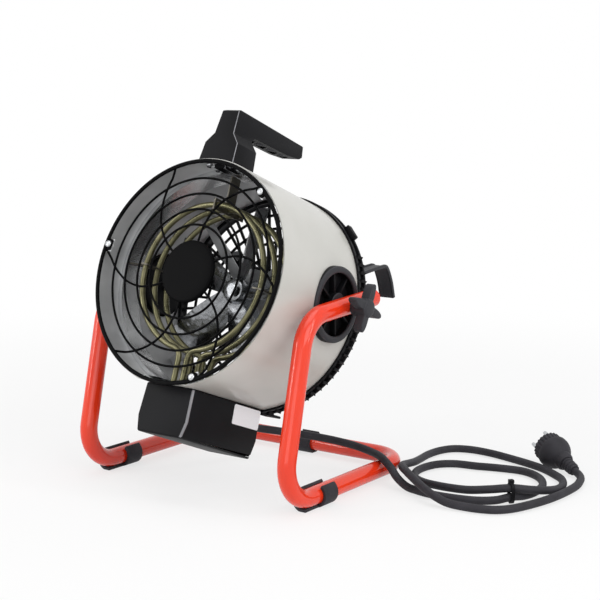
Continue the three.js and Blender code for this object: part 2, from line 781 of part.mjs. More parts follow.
// Support: a radial plate on a stem from the shield, with a hole for each element.
function elementSupports() {
  const group = new THREE.Group();
  const facet = Math.cos(Math.PI / shieldFacets);
  const outer = (shieldRadius - shieldGap - sheet) * facet - fit;
  const reach = rodRadius + rodPlay + supportMargin;
  const middle = (elementFront + elementRear) / 2;
  supportAngles.forEach((angle, i) => {
    const plate = block(
      elementRadius - reach, elementRadius + reach, elementFront - reach, elementRear + reach,
      -supportThickness / 2, supportThickness / 2,
    );
    const stem = block(
      elementRadius, outer, middle - supportStemWidth / 2, middle + supportStemWidth / 2,
      -supportThickness / 2, supportThickness / 2,
    );
    const holes = [];
    for (let k = 0; k < elementCount; k += 1) {
      holes.push(upright(
        rodRadius + rodPlay, -overrun, overrun, elementRadius,
        elementFront + k * elementStep, 10,
      ));
    }
    const cut = carve([plate, stem], holes);
    const support = piece(`element_support_${i + 1}`, cut.rotateY(-angle), paints.zinc);
    group.add(support);
  });
  return group;
}

// Fan: a hub with pitched blades, on the motor's shaft.
function fanBlade(angle) {
  const root = hubRadius - wireRadius * 2;
  const shape = outline([
    [root, -bladeChord * 0.3], [fanRadius * 0.6, -bladeChord * 0.5], [fanRadius, -bladeChord * 0.42],
    [fanRadius, bladeChord * 0.3], [fanRadius * 0.6, bladeChord * 0.42], [root, bladeChord * 0.28],
  ]);
  const blade = new THREE.ExtrudeGeometry(shape, { depth: bladeThickness, bevelEnabled: false });
  blade.translate(0, 0, -bladeThickness / 2).rotateX(bladePitch);
  return blade.rotateX(Math.PI / 2).rotateY(-angle).translate(0, hubFront + hubLength / 2, 0);
}

function fanImpeller() {
  const hubProfile = [
    [0, hubFront], [hubRadius * 0.8, hubFront], [hubRadius, hubFront + hubLength * 0.2],
    [hubRadius, hubFront + hubLength], [0, hubFront + hubLength],
  ];
  const parts = [turned(hubProfile, 18)];
  for (let i = 0; i < bladeCount; i += 1) {
    parts.push(fanBlade(bladeStart + (i * fullTurn) / bladeCount));
  }
  const bore = rod(
    shaftRadius + fit, hubFront + hubLength / 3, hubFront + hubLength + overrun, 16,
  );
  return piece('fan_impeller', carve(parts, [bore]), paints.fan);
}

function motorShaft() {
  const shaft = rod(
    shaftRadius, hubFront + hubLength / 3 + fit, motorFront + motorLength / 3 - fit, 16,
  );
  return piece('motor_shaft', shaft, paints.screw);
}

function fanMotor() {
  const rear = motorFront + motorLength;
  const profile = [
    [0, motorFront], [motorNeck, motorFront], [motorNeck, motorFront + 2 * strapThickness],
    [motorRadius * 0.9, motorFront + 2 * strapThickness],
    [motorRadius, motorFront + 3 * strapThickness], [motorRadius, rear - strapThickness],
    [motorRadius * 0.9, rear], [0, rear],
  ];
  const bore = rod(shaftRadius + fit, motorFront - overrun, motorFront + motorLength / 3, 16);
  return piece('fan_motor', carve([turned(profile, 16)], [bore]), paints.motor);
}

// Motor bracket: a ring on the motor's neck with four straps to the drum's wall.
function motorBracket() {
  const y0 = motorFront + strapThickness - fit;
  const y1 = y0 + strapThickness;
  const reach = drumRadius - sheet - fit;
  const parts = [band(motorNeck + fit, motorRadius * 0.9, y0, y1, 20)];
  for (let i = 0; i < 4; i += 1) {
    const angle = Math.PI / 4 + (i * fullTurn) / 4;
    const arm = block(
      motorRadius * 0.8, reach - strapThickness, y0, y1, -strapWidth / 2, strapWidth / 2,
    );
    const edge = Math.sqrt(reach ** 2 - (strapWidth / 2) ** 2);
    const toe = block(
      edge - strapThickness, edge, y0, y0 + strapFoot, -strapWidth / 2, strapWidth / 2,
    );
    parts.push(arm.rotateY(-angle), toe.rotateY(-angle));
  }
  return piece('motor_bracket', carve(parts), paints.zinc);
}

// Rear guard: toothed rim over the drum's edge, ribs, rings, a hub plate and a low foot.
function toothedShape() {
  const points = [];
  const pitch = fullTurn / toothCount;
  for (let i = 0; i < toothCount; i += 1) {
    const root = guardRadius - toothDepth;
    const plain = Math.abs(i * pitch - Math.PI / 2) < toothlessArc / 2;
    for (const [radius, angle] of [[plain ? root : guardRadius, i * pitch], [root, (i + 0.5) * pitch]]) {
      points.push([radius * Math.cos(angle), radius * Math.sin(angle)]);
    }
  }
  return outline(points);
}

function rearGuard() {
  const rimInner = drumRadius - guardWall;
  const skirtFront = drumRear - guardSkirt;
  const rimFront = drumRear + fit;
  const grateFront = guardRear - guardWall;
  const rim = plateY(toothedShape(), rimFront, guardRear, 1);
  const sleeve = rod(drumRadius + fit + guardWall / 2, skirtFront, rimFront + guardWall, 56);
  const skirt = solidOf(sleeve).subtract(
    solidOf(plateY(drumOutline(-fit), skirtFront - overrun, rimFront, 28)),
  );
  const hollow = rod(rimInner - guardWall, drumRear - overrun, guardRear + overrun, 48);
  const ringed = [];
  for (const radius of guardRingRadii) {
    ringed.push(band(radius, radius + guardRingWidth, grateFront, guardRear, 24));
  }
  for (let i = 0; i < guardRibCount; i += 1) {
    const rib = block(
      guardHubRadius - guardWall, rimInner, grateFront, guardRear, -guardRibWidth / 2,
      guardRibWidth / 2,
    );
    ringed.push(rib.rotateY(((i + 0.5) * fullTurn) / guardRibCount));
  }
  const hub = rod(guardHubRadius, grateFront, guardRear, 20);
  const foot = block(
    guardFootOffset - guardFootHalfWidth, guardFootOffset + guardFootHalfWidth,
    guardRear - guardWall, guardRear + guardFootReach,
    -rimInner - guardFootHeight, -rimInner + guardFootHeight / 2,
  );
  const nub = block(
    guardRadius - toothDepth * 1.5, guardRadius + guardNubHeight, guardRear - guardNubLength,
    guardRear, -guardNubWidth / 2, guardNubWidth / 2,
  );
  const extras = [hub, foot, nub.rotateY(-guardNubAngle)];
  for (const sign of [-1, 1]) {
    extras.push(block(
      sign * hookOffset - hookWidth / 2, sign * hookOffset + hookWidth / 2, grateFront,
      guardRear, hookHeight - hookFoot, hookHeight + hookThickness / 2,
    ));
  }
  for (const angle of guardScrewAngles()) {
    const post = rod(guardPostRadius, rimFront, guardRear, 10);
    extras.push(post.translate(screwCircle, 0, 0).rotateY(-angle));
  }
  const open = solidOf(rim).add(skirt).subtract(solidOf(hollow));
  const whole = [...ringed, ...extras].reduce((sum, part) => sum.add(solidOf(part)), open);
  const cuts = guardScrewAngles().map((angle) => {
    const hole = rod(screwRadius + fit, drumRear - overrun, guardRear + overrun, 12);
    return hole.translate(screwCircle, 0, 0).rotateY(-angle);
  });
  // The rim makes room for the cups' flanges, and flats let the stand's tubes swing past.
  const beside = guardRadius + overrun;
  for (const side of [1, -1]) {
    const flange = rod(cupRadius + 2 * fit, 0, beside, 24);
    cuts.push(radial(flange, 0, sideAngle(side), 0));
  }
  for (const x of [cupFace, -beside]) {
    cuts.push(block(
      x, x + beside - cupFace, skirtFront - overrun, guardRear + overrun, -hookHeight, hookHeight,
    ));
  }
  const pierced = cuts.reduce((sum, cut) => sum.subtract(solidOf(cut)), whole);
  return piece('rear_guard', geometryOf(pierced), paints.black);
}

function guardScrewAngles() {
  return [0, 1, 2].map((i) => Math.PI / 2 + (i * fullTurn) / 3);
}

// Puts a body turned about Y on a radius of the drum, its +Y end outwards.
function radial(geometry, distance, angle, y) {
  geometry.rotateZ(-Math.PI / 2).translate(distance, 0, 0);
  return geometry.rotateY(-angle).translate(0, y, 0);
}

function sideAngle(side) {
  return side > 0 ? 0 : Math.PI;
}

// Pivot cup: a flange saddled on the drum, a barrel through its side, a ribbed floor and a hub.
function cupBarrel(side, gap) {
  const body = rod(cupRadius - cupFlange + gap, cupBack - overrun, cupFace + overrun, 24);
  return radial(body, 0, sideAngle(side), 0);
}

function pivotCup(name, side) {
  const angle = sideAngle(side);
  const barrel = cupRadius - cupFlange;
  const saddle = Math.sqrt(drumRadius ** 2 - cupRadius ** 2) - overrun;
  const flange = radial(band(cupBore, cupRadius, saddle, cupFace, 24), 0, angle, 0);
  const drum = rod(drumRadius + fit, -drumLength, drumLength, 56);
  const rim = solidOf(flange).subtract(solidOf(drum));
  const wall = radial(band(cupBore, barrel, cupBack, cupFace, 24), 0, angle, 0);
  const parts = [wall];
  parts.push(radial(rod(barrel - fit, cupBack, cupBack + cupFloor, 24), 0, angle, 0));
  parts.push(radial(rod(cupHubRadius, cupBack, tubeInnerX - fit, 16), 0, angle, 0));
  for (let i = 0; i < cupRibCount; i += 1) {
    const rib = block(
      0, cupBore + cupFloor / 2, cupBack, cupBack + cupRibHeight, -cupRibWidth / 2,
      cupRibWidth / 2,
    );
    rib.rotateY(((i + 0.5) * fullTurn) / cupRibCount);
    parts.push(radial(rib, 0, angle, 0));
  }
  const bore = radial(rod(boltRadius + boltClearance, cupBack - overrun, tubeInnerX, 12), 0, angle, 0);
  const whole = parts.reduce((sum, part) => sum.add(solidOf(part)), rim);
  return piece(name, geometryOf(whole.subtract(solidOf(bore))), paints.black);
}

// Bolt from inside the cup, through the stand's tube into the knob.
function pivotBolt(name, side) {
  const seat = cupBack - fit;
  const head = rod(boltHeadRadius, seat - boltHeadThickness, seat, 6);
  const shank = rod(boltRadius, seat - boltHeadThickness / 2, boltEnd, 12);
  return piece(name, radial(carve([head, shank]), 0, sideAngle(side), 0), paints.zinc);
}

// Star knob: four rounded arms on a round collar, with a blind bore for the bolt.
function starShape() {
  const points = [];
  const tip = knobArmWidth / 2;
  for (let i = 0; i < knobArmCount; i += 1) {
    const arm = (i * fullTurn) / knobArmCount;
    const place = (x, y) => {
      const along = new THREE.Vector2(x, y).rotateAround(new THREE.Vector2(), arm);
      points.push([along.x, along.y]);
    };
    place(knobCoreRadius, -knobRootWidth / 2);
    for (let k = 0; k <= 3; k += 1) {
      const turn = -Math.PI / 2 + (Math.PI * k) / 3;
      place(knobReach - tip + tip * Math.cos(turn), tip * Math.sin(turn));
    }
    place(knobCoreRadius, knobRootWidth / 2);
  }
  return outline(points);
}

function starKnob(name, side) {
  const start = tubeOuterX + fit;
  const base = start + knobCollarLength;
  const star = new THREE.ExtrudeGeometry(starShape(), {
    depth: knobThickness - 2 * knobEdge, bevelThickness: knobEdge, bevelSize: knobEdge,
    bevelOffset: -knobEdge, bevelSegments: 1,
  });
  star.rotateZ(knobTurn).translate(0, 0, knobEdge).rotateX(-Math.PI / 2).translate(0, base, 0);
  const collar = rod(knobCollarRadius, start, base + knobThickness / 2, 10);
  const crown = turned([
    [0, base], [knobCoreRadius, base], [knobCoreRadius, base + knobThickness],
    [knobCollarRadius / 2, base + knobThickness + knobEdge],
    [0, base + knobThickness + knobEdge],
  ], 10);
  const bore = rod(boltRadius + boltClearance, start - overrun, boltEnd + fit, 12);
  const knob = radial(carve([star, collar, crown], [bore]), 0, sideAngle(side), 0);
  return piece(name, knob, paints.black);
}

// Handle: a hollow post screwed on the drum, and a grip with open triangular cells below.
function handleScrewPlaces() {
  const turn = Math.asin(handleScrewSpacingX / 2 / drumRadius);
  const first = drumFront + handleSetBack + handleScrewSetBack;
  const places = [];
  for (const angle of [Math.PI / 2 - turn, Math.PI / 2 + turn]) {
    for (const y of [first, first + handleScrewSpacingY]) places.push([angle, y]);
  }
  return places;
}

function handleSide() {
  const front = drumFront + handleSetBack;
  const postRear = front + handlePostDepth;
  const rear = front + handleLength;
  const base = drumRadius - overrun;
  const top = drumRadius + handleRise;
  const under = drumRadius + handleGripRoot;
  return outline([
    [front, base], [postRear, base], [postRear, under - handleCorner],
    [postRear + handleCorner, under], [rear - handleEndLength, under + handleGripSlope],
    [rear - handleCorner, under + handleEndRise], [rear, top - handleGripEnd],
    [rear - handleCorner / 4, top - handleTopFall], [front + handleLean + handleCorner, top],
    [front + handleLean, top - handleCorner / 2], [front, drumRadius],
  ]);
}

function handleFront() {
  const halves = [
    [handleFootHalfWidth, drumRadius - overrun], [handleFootHalfWidth, drumRadius],
    [handleShoulderHalfWidth, drumRadius + handleShoulderHeight],
    [handleNeckHalfWidth, drumRadius + handleNeckHeight],
    [handleTopHalfWidth + handleEdge, drumRadius + handleRise - handleEdge],
    [handleTopHalfWidth, drumRadius + handleRise],
  ];
  const left = [...halves].reverse().map(([x, z]) => [-x, z]);
  return outline([...halves, ...left]);
}

function handle() {
  const front = drumFront + handleSetBack;
  const top = drumRadius + handleRise;
  const side = plateX(handleSide(), -drumRadius, drumRadius);
  const face = plateY(handleFront(), front - overrun, front + handleLength + overrun);
  let body = solidOf(side).intersect(solidOf(face));
  const cellHalf = handleTopHalfWidth - handleGripWall;
  const start = front + handlePostDepth + handleGripWall * 2;
  const count = Math.floor((handleLength - handlePostDepth - 2 * handleCorner) / handleRibPitch) - 1;
  const corner = (i) => [(i % 2 ? 1 : -1) * cellHalf, start + i * handleRibPitch];
  for (let i = 0; i < count; i += 1) {
    const points = [corner(i), corner(i + 1), corner(i + 2)];
    const middle = [0, 1].map((k) => (points[0][k] + points[1][k] + points[2][k]) / 3);
    const cell = points.map((p) => p.map((v, k) => middle[k] + (v - middle[k]) * cellShare));
    if (i % 2) cell.reverse();
    const depth = top - handleGripWall - handleTopFall - drumRadius;
    const pocket = new THREE.ExtrudeGeometry(outline(cell), { depth, bevelEnabled: false });
    body = body.subtract(solidOf(pocket.translate(0, 0, drumRadius)));
  }
  const room = block(
    -cellHalf, cellHalf, front + handleLean + handleGripWall,
    front + handlePostDepth - handleGripWall, 0, top - handleGripWall * 2,
  );
  const drum = rod(drumRadius + fit, -drumLength, drumLength, 56);
  body = body.subtract(solidOf(room)).subtract(solidOf(drum));
  for (const [angle, y] of handleScrewPlaces()) {
    const hole = rod(screwRadius + fit, -overrun, screwLength + fit, 12);
    body = body.subtract(solidOf(radial(hole, drumRadius - sheet - fit, angle, y)));
  }
  return piece('handle', geometryOf(body), paints.black);
}

function handleScrews() {
  const group = new THREE.Group();
  handleScrewPlaces().forEach(([angle, y], i) => {
    const screw = radial(panScrew(screwLength), drumRadius - sheet - 2 * fit, angle, y);
    group.add(piece(`handle_screw_${i + 1}`, screw, paints.screw));
  });
  return group;
}

// Guard screws run forwards through the guard's posts into the drum's rear ears.
function guardScrews() {
  const group = new THREE.Group();
  guardScrewAngles().forEach((angle, i) => {
    const screw = piece(`guard_screw_${i + 1}`, panScrew(guardDepth + earWidth / 3), paints.screw);
    screw.position.set(
      screwCircle * Math.cos(angle), guardRear + fit, screwCircle * Math.sin(angle),
    );
    screw.rotation.x = Math.PI;
    group.add(screw);
  });
  return group;
}

// A bent strap drawn from its centre line, seen from the side.
function strapOutline(points, thickness) {
  const half = thickness / 2;
  const line = points.map(([x, y]) => new THREE.Vector2(x, y));
  const edge = (sign) => line.map((point, i) => {
    const before = line[Math.max(i - 1, 0)];
    const after = line[Math.min(i + 1, line.length - 1)];
    const into = point.clone().sub(before).normalize();
    const out = after.clone().sub(point).normalize();
    if (i === 0) into.copy(out);
    if (i === line.length - 1) out.copy(into);
    const mean = into.clone().add(out).normalize();
    const stretch = half / Math.max(mean.dot(out), 0.5);
    return [point.x - sign * mean.y * stretch, point.y + sign * mean.x * stretch];
  });
  return outline([...edge(-1), ...edge(1).reverse()]);
}

function cableHook(name, side) {
  const seat = guardRear + fit + hookThickness / 2;
  const armEnd = [seat + hookArmLength, hookHeight + hookArmRise];
  const knee = [armEnd[0] + hookKnee, armEnd[1]];
  const points = [
    [seat, hookHeight - hookFoot], [seat, hookHeight], armEnd, knee,
    [knee[0] + hookPlateFlare / 2, knee[1] - hookPlateDrop / 2 + hookCrown],
    [knee[0] + hookPlateFlare, knee[1] - hookPlateDrop],
  ];
  const inner = hookOffset - hookWidth / 2;
  const start = side > 0 ? inner : -inner - hookWidth;
  const strap = plateX(strapOutline(points, hookThickness), start, start + hookWidth);
  return piece(name, strap, paints.black);
}

// Control box: a moulded tray under the drum's flat, open at its top and rear.
function boxLower(y) {
  const share = (y - boxFront) / (boxRear - boxFront);
  return -baseDepth - THREE.MathUtils.lerp(boxHeightFront, boxHeightRear, share);
}

function boxSide(wall) {
  const extra = wall > 0 ? overrun : 0;
  const top = -baseDepth - fit + extra;
  const rearTop = boxRear + extra;
  const rearBottom = boxRear + boxRearRake + extra;
  const front = boxFront + wall;
  return outline([
    [front, top], [front - boxFrontRake, boxLower(boxFront) + wall],
    [rearBottom, boxLower(boxRear) + wall], [rearTop, top],
  ]);
}

function boxFace() {
  const halves = [
    [0, -baseDepth - boxHeightRear - boxCrown],
    [boxHalfWidth - boxBottomInset - boxCrown * 2, -baseDepth - boxHeightRear - boxCrown / 2],
    [boxHalfWidth - boxBottomInset, -baseDepth - boxHeightFront + boxCrown * 2],
    [boxHalfWidth + boxBulge, -baseDepth - boxCrease],
    [boxHalfWidth, -baseDepth],
  ];
  const left = halves.slice(1).reverse().map(([x, z]) => [-x, z]);
  return outline([...halves, ...left]);
}

function panelScrewPlaces() {
  const x = boxHalfWidth - panelScrewInset;
  const z = -baseDepth - panelScrewInset;
  return [[x, z], [-x, z]];
}

function controlBox() {
  const side = plateX(boxSide(0), -drumRadius, drumRadius);
  const face = plateY(boxFace(), boxFront - drumRadius, boxRear + drumRadius);
  const inner = plateX(boxSide(boxWall), -boxHalfWidth + boxWall, boxHalfWidth - boxWall);
  let body = solidOf(side).intersect(solidOf(face)).subtract(solidOf(inner));
  const bossRear = boxRear - panelThickness - fit;
  for (const [x, z] of panelScrewPlaces()) {
    const edge = Math.sign(x) * (boxHalfWidth - boxWall / 2);
    const near = x - Math.sign(x) * 2 * screwRadius;
    const boss = block(
      Math.min(edge, near), Math.max(edge, near), bossRear - screwLength, bossRear,
      z - 2 * screwRadius, z + 2 * screwRadius,
    );
    const hole = rod(screwRadius + fit, bossRear - screwLength - overrun, boxRear + overrun);
    body = body.add(solidOf(boss)).subtract(solidOf(hole.translate(x, 0, z)));
  }
  return piece('control_box', geometryOf(body), paints.black);
}

function dialPlaces() {
  return [dialSpacing / 2, -dialSpacing / 2].map((x) => [x, -baseDepth - dialDrop]);
}

function controlPanel() {
  const half = boxHalfWidth - boxWall - fit;
  const plate = block(
    -half, half, boxRear - panelThickness, boxRear,
    -baseDepth - boxHeightRear + boxWall + 2 * fit, -baseDepth - 2 * fit,
  );
  const through = (radius, x, z) =>
    rod(radius, boxRear - panelThickness - overrun, boxRear + overrun, 12).translate(x, 0, z);
  const cuts = dialPlaces().map(([x, z]) => through(dialStemRadius + fit, x, z));
  cuts.push(through(glandThread + fit, 0, -baseDepth - glandDrop));
  for (const [x, z] of panelScrewPlaces()) cuts.push(through(screwRadius + fit, x, z));
  return piece('control_panel', carve([plate], cuts), paints.black);
}

function panelScrews() {
  const group = new THREE.Group();
  panelScrewPlaces().forEach(([x, z], i) => {
    const screw = piece(`panel_screw_${i + 1}`, panScrew(screwLength), paints.screw);
    screw.position.set(x, boxRear + fit, z);
    screw.rotation.x = Math.PI;
    group.add(screw);
  });
  return group;
}

// Thermostat and selector: bodies behind the panel, stems through it, knobs on the stems.
function controls() {
  const group = new THREE.Group();
  const behind = boxRear - panelThickness - fit;
  const stemEnd = boxRear + fit + dialHeight * 0.6;
  const [first, second] = dialPlaces();
  const stem = () => rod(dialStemRadius, behind - dialBodyLength / 2, stemEnd, 10);
  const round = rod(dialBodyRadius, behind - dialBodyLength, behind, 20);
  const square = block(
    -dialBodyRadius, dialBodyRadius, behind - dialBodyLength, behind, -dialBodyRadius,
    dialBodyRadius,
  );
  const thermostat = carve([round, stem()]).translate(first[0], 0, first[1]);
  const selector = carve([square, stem()]).translate(second[0], 0, second[1]);
  group.add(piece('thermostat', thermostat, paints.ivory));
  group.add(piece('selector_switch', selector, paints.ivory));
  group.add(dialKnob('thermostat_knob', first, stemEnd));
  group.add(dialKnob('selector_knob', second, stemEnd));
  return group;
}

function dialKnob(name, [x, z], stemEnd) {
  const seat = boxRear + fit;
  const skirt = turned([
    [0, seat], [dialRadius, seat], [dialRadius, seat + dialHeight / 3],
    [dialGripRadius, seat + dialHeight / 2], [0, seat + dialHeight / 2],
  ], 20);
  const grip = block(
    -dialGripRadius, dialGripRadius, seat + dialHeight / 3, seat + dialHeight,
    -dialStemRadius, dialStemRadius,
  );
  const core = rod(dialStemRadius * 2, seat, seat + dialHeight, 12);
  const bore = rod(dialStemRadius + fit, seat - overrun, stemEnd + fit, 10);
  return piece(name, carve([skirt, grip, core], [bore]).translate(x, 0, z), paints.black);
}

// Terminal block on the box's floor, below the elements' legs.
function terminalBlock() {
  const y = elementFront + elementStep;
  const floor = boxLower(y - terminalWidth / 2) + boxWall + fit;
  const parts = [block(
    -terminalLength / 2, terminalLength / 2, y - terminalWidth / 2, y + terminalWidth / 2,
    floor, floor + terminalHeight / 2,
  )];
  const pitch = terminalLength / terminalPoles;
  for (let i = 0; i < terminalPoles; i += 1) {
    const x = -terminalLength / 2 + pitch * (i + 0.5);
    parts.push(block(
      x - pitch * 0.4, x + pitch * 0.4, y - terminalWidth / 4, y + terminalWidth / 4,
      floor + terminalHeight / 3, floor + terminalHeight,
    ));
  }
  return piece('terminal_block', carve(parts), paints.ivory);
}

// Thermal cutout: a small disc thermostat on the drum's wall behind the heat shield.
function thermalCutout() {
  const seat = drumRadius - sheet - 2 * fit;
  const profile = [
    [0, seat - cutoutHeight], [cutoutRadius * 0.7, seat - cutoutHeight],
    [cutoutRadius * 0.7, seat - cutoutHeight / 2], [cutoutRadius, seat - cutoutHeight / 2],
    [cutoutRadius, seat], [0, seat],
  ];
  const y = elementRear - shieldRearInset + 2 * cutoutRadius;
  return piece('thermal_cutout', radial(turned(profile, 12), 0, cutoutAngle, y), paints.ivory);
}

// Cable gland through the rear panel, with its lock nut inside.
function cableGland() {
  const inside = boxRear - panelThickness - glandInside;
  const seat = boxRear + fit;
  const profile = [
    [0, inside], [glandThread, inside], [glandThread, seat], [glandNutRadius, seat],
    [glandNutRadius, seat + glandHexLength], [glandRadius, seat + glandHexLength],
    [glandRadius, glandEnd - glandHexLength / 2], [glandThread, glandEnd], [0, glandEnd],
  ];
  const body = turned(profile, 12).translate(0, 0, -baseDepth - glandDrop);
  return piece('cable_gland', body, paints.black);
}

function glandNut() {
  const front = boxRear - panelThickness - fit;
  const nut = rod(glandNutRadius + sheet, front - glandHexLength, front, 6);
  const bore = rod(glandThread + fit, front - 2 * glandHexLength, front + overrun, 12);
  const body = carve([nut], [bore]).translate(0, 0, -baseDepth - glandDrop);
  return piece('gland_nut', body, paints.black);
}

// Rating label: a blank plate on the box's right side.
function ratingLabel() {
  const lean = boxBulge / boxCrease;
  const surface = (drop) => boxHalfWidth + lean * drop + fit;
  const top = labelDrop;
  const bottom = labelDrop + labelHeight;
  const rear = boxRear - labelFromRear;
  const plate = plateY(outline([
    [surface(top), -baseDepth - top], [surface(bottom), -baseDepth - bottom],
    [surface(bottom) + labelThickness, -baseDepth - bottom],
    [surface(top) + labelThickness, -baseDepth - top],
  ]), rear - labelLength, rear);
  return piece('rating_label', plate, paints.label);
}

// The cord's centre line, from the gland to the plug, and its three stretches.
function toStand(x, y, z) {
  const axis = new THREE.Vector3(1, 0, 0);
  return new THREE.Vector3(x, y, z).applyAxisAngle(axis, -tiltAngle)
    .add(new THREE.Vector3(0, pivotY, pivotZ));
}

function plugFrame() {
  const heading = new THREE.Vector3(
    Math.cos(plugAzimuth) * Math.cos(plugTilt), Math.sin(plugAzimuth) * Math.cos(plugTilt),
    Math.sin(plugTilt),
  );
  const toFlange = plugSleeveLength + plugNeckLength + plugDomeLength + plugRimLength / 2;
  const flangeZ = plugRadius * Math.cos(plugTilt) + (plugRimLength / 2) * Math.sin(plugTilt);
  const flange = new THREE.Vector3(plugPlace[0], plugPlace[1], flangeZ + fit / 2);
  return { heading, mouth: flange.addScaledVector(heading, -toFlange) };
}

function cordPoints() {
  const out = new THREE.Vector3(0, 1, 0).applyAxisAngle(new THREE.Vector3(1, 0, 0), -tiltAngle);
  const start = toStand(0, glandEnd + fit, -baseDepth - glandDrop);
  const { heading, mouth } = plugFrame();
  const end = mouth.clone().addScaledVector(heading, -fit);
  const listed = (route) => route.map((p) => new THREE.Vector3(...p));
  return {
    lead: [start, start.clone().addScaledVector(out, 2 * cordRadius), ...listed(leadRoute)],
    loops: listed(loopRoute),
    tail: [...listed(tailRoute), end.clone().addScaledVector(heading, -2 * cordRadius), end],
  };
}

// Rings along a stretch of the centre line, closer together where it bends.
function ringsAlong(samples, count, trimStart, trimEnd) {
  const way = (i) => {
    const before = samples[Math.max(i - 1, 0)];
    const after = samples[Math.min(i + 1, samples.length - 1)];
    return after.clone().sub(before).normalize();
  };
  const weights = [0];
  for (let i = 1; i < samples.length; i += 1) {
    const length = samples[i].distanceTo(samples[i - 1]);
    const turn = way(i).angleTo(way(i - 1));
    weights.push(weights[i - 1] + length / (6 * cordRadius) + turn / ringTurn);
  }
  const total = weights[weights.length - 1];
  const places = [];
  const headings = [];
  let at = 0;
  for (let k = 0; k <= count; k += 1) {
    while (at < samples.length - 1 && weights[at] < (total * k) / count) at += 1;
    places.push(samples[at].clone());
    headings.push(way(at));
  }
  places[0].addScaledVector(headings[0], trimStart);
  places[count].addScaledVector(headings[count], -trimEnd);
  return new RingPath(places, headings);
}

function closestApproach(paths) {
  const points = [];
  let run = 0;
  for (const path of paths) {
    for (let i = 1; i < path.places.length; i += 1) {
      const length = path.places[i].distanceTo(path.places[i - 1]);
      const parts = Math.ceil(length / cordRadius) * 2;
      for (let k = 0; k < parts; k += 1) {
        const place = path.places[i - 1].clone().lerp(path.places[i], k / parts);
        points.push({ place, run: run + (length * k) / parts });
      }
      run += length;
    }
  }
  let least = Infinity;
  for (const a of points) {
    for (const b of points) {
      if (b.run - a.run > 10 * cordRadius) least = Math.min(least, a.place.distanceTo(b.place));
    }
  }
  return { least: least - 2 * cordRadius, length: run };
}

function cord() {
  const { lead, loops, tail } = cordPoints();
  const all = [...lead, ...loops, ...tail];
  const curve = new THREE.CatmullRomCurve3(all, false, 'centripetal');
  const perPoint = 24;
  const samples = curve.getPoints((all.length - 1) * perPoint);
  const leadEnd = (lead.length - 0.5) * perPoint;
  const loopEnd = (lead.length + loops.length - 0.5) * perPoint;
  const paths = [
    ringsAlong(samples.slice(0, leadEnd + 1), leadSteps, 0, fit / 2),
    ringsAlong(samples.slice(leadEnd, loopEnd + 1), loopSteps, fit / 2, fit / 2),
    ringsAlong(samples.slice(loopEnd), tailSteps, fit / 2, 0),
  ];
  const { least, length } = closestApproach(paths);
  console.log(`cord: length ${length.toFixed(0)} mm, least gap to itself ${least.toFixed(2)} mm`);
  const group = new THREE.Group();
  ['cord_lead', 'cord_loops', 'cord_tail'].forEach((name, i) => {
    group.add(piece(name, tubeAlong(paths[i], cordRadius, cordSides), paints.rubber));
  });
  return group;
}

// Rubber plug, lying with its face away from the heater's front.
function plug() {
  const { heading, mouth } = plugFrame();
  const group = new THREE.Group();
  group.position.copy(mouth);
  group.quaternion.setFromUnitVectors(new THREE.Vector3(0, 1, 0), heading);
  const sleeve = turned([
    [0, 0], [plugSleeveRadius, 0], [plugSleeveRadius + sheet, plugSleeveLength],
    [0, plugSleeveLength],
  ], 12);
  const neck = plugSleeveLength + fit;
  const dome = plugSleeveLength + plugNeckLength;
  const rim = dome + plugDomeLength;
  const face = rim + plugRimLength + plugFaceLength;
  const body = turned([
    [0, neck], [plugNeckRadius * 0.85, neck], [plugNeckRadius, dome - plugNeckLength / 2],
    [plugNeckRadius, dome], [plugNeckRadius * 1.45, dome + plugDomeLength * 0.35],
    [plugRadius, rim], [plugRadius, rim + plugRimLength],
    [plugFaceRadius, rim + plugRimLength], [plugFaceRadius, face], [0, face],
  ], 18);
  group.add(piece('plug_sleeve', sleeve, paints.rubber));
  group.add(piece('plug_body', body, paints.rubber));
  [1, -1].forEach((sign, i) => {
    const start = face + fit;
    const tip = start + plugPinLength;
    const pin = turned([
      [0, start], [plugPinRadius, start], [plugPinRadius, tip - plugPinRadius / 2],
      [plugPinRadius / 2, tip], [0, tip],
    ], 8).translate((sign * plugPinSpacing) / 2, 0, 0).rotateY(-plugPinTurn);
    group.add(piece(`plug_pin_${i + 1}`, pin, paints.screw));
  });
  return group;
}

// Cable tie around the two crossing strands.
function cableTie() {
  const tied = loopRoute.filter(([x, y]) => x === tiePlace[0] && y === tiePlace[1]);
  const low = Math.min(...tied.map((p) => p[2]));
  const high = Math.max(...tied.map((p) => p[2]));
  const loop = (radius, turnBack) => {
    const path = turnBack ? new THREE.Path() : new THREE.Shape();
    const ends = [[high, 0, Math.PI], [low, Math.PI, fullTurn]];
    if (turnBack) {
      path.absarc(0, high, radius, Math.PI, 0, true);
      path.absarc(0, low, radius, fullTurn, Math.PI, true);
    } else {
      for (const [z, from, to] of ends) path.absarc(0, z, radius, from, to, false);
    }
    return path;
  };
  const inner = cordRadius + tieRoom;
  const shape = loop(inner + tieThickness, false);
  shape.holes.push(loop(inner, true));
  const strap = plateY(shape, -tieWidth / 2, tieWidth / 2, 4);
  const head = block(
    -tieWidth, tieWidth * 0.8, -tieWidth * 0.8, tieWidth * 0.8, high + inner + tieThickness / 2,
    high + inner + tieThickness + tieWidth * 0.7,
  );
  const tie = piece('cable_tie', carve([strap, head]), paints.black);
  tie.position.set(tiePlace[0], tiePlace[1], 0);
  tie.rotation.z = tieTurn - Math.PI / 2;
  return tie;
}

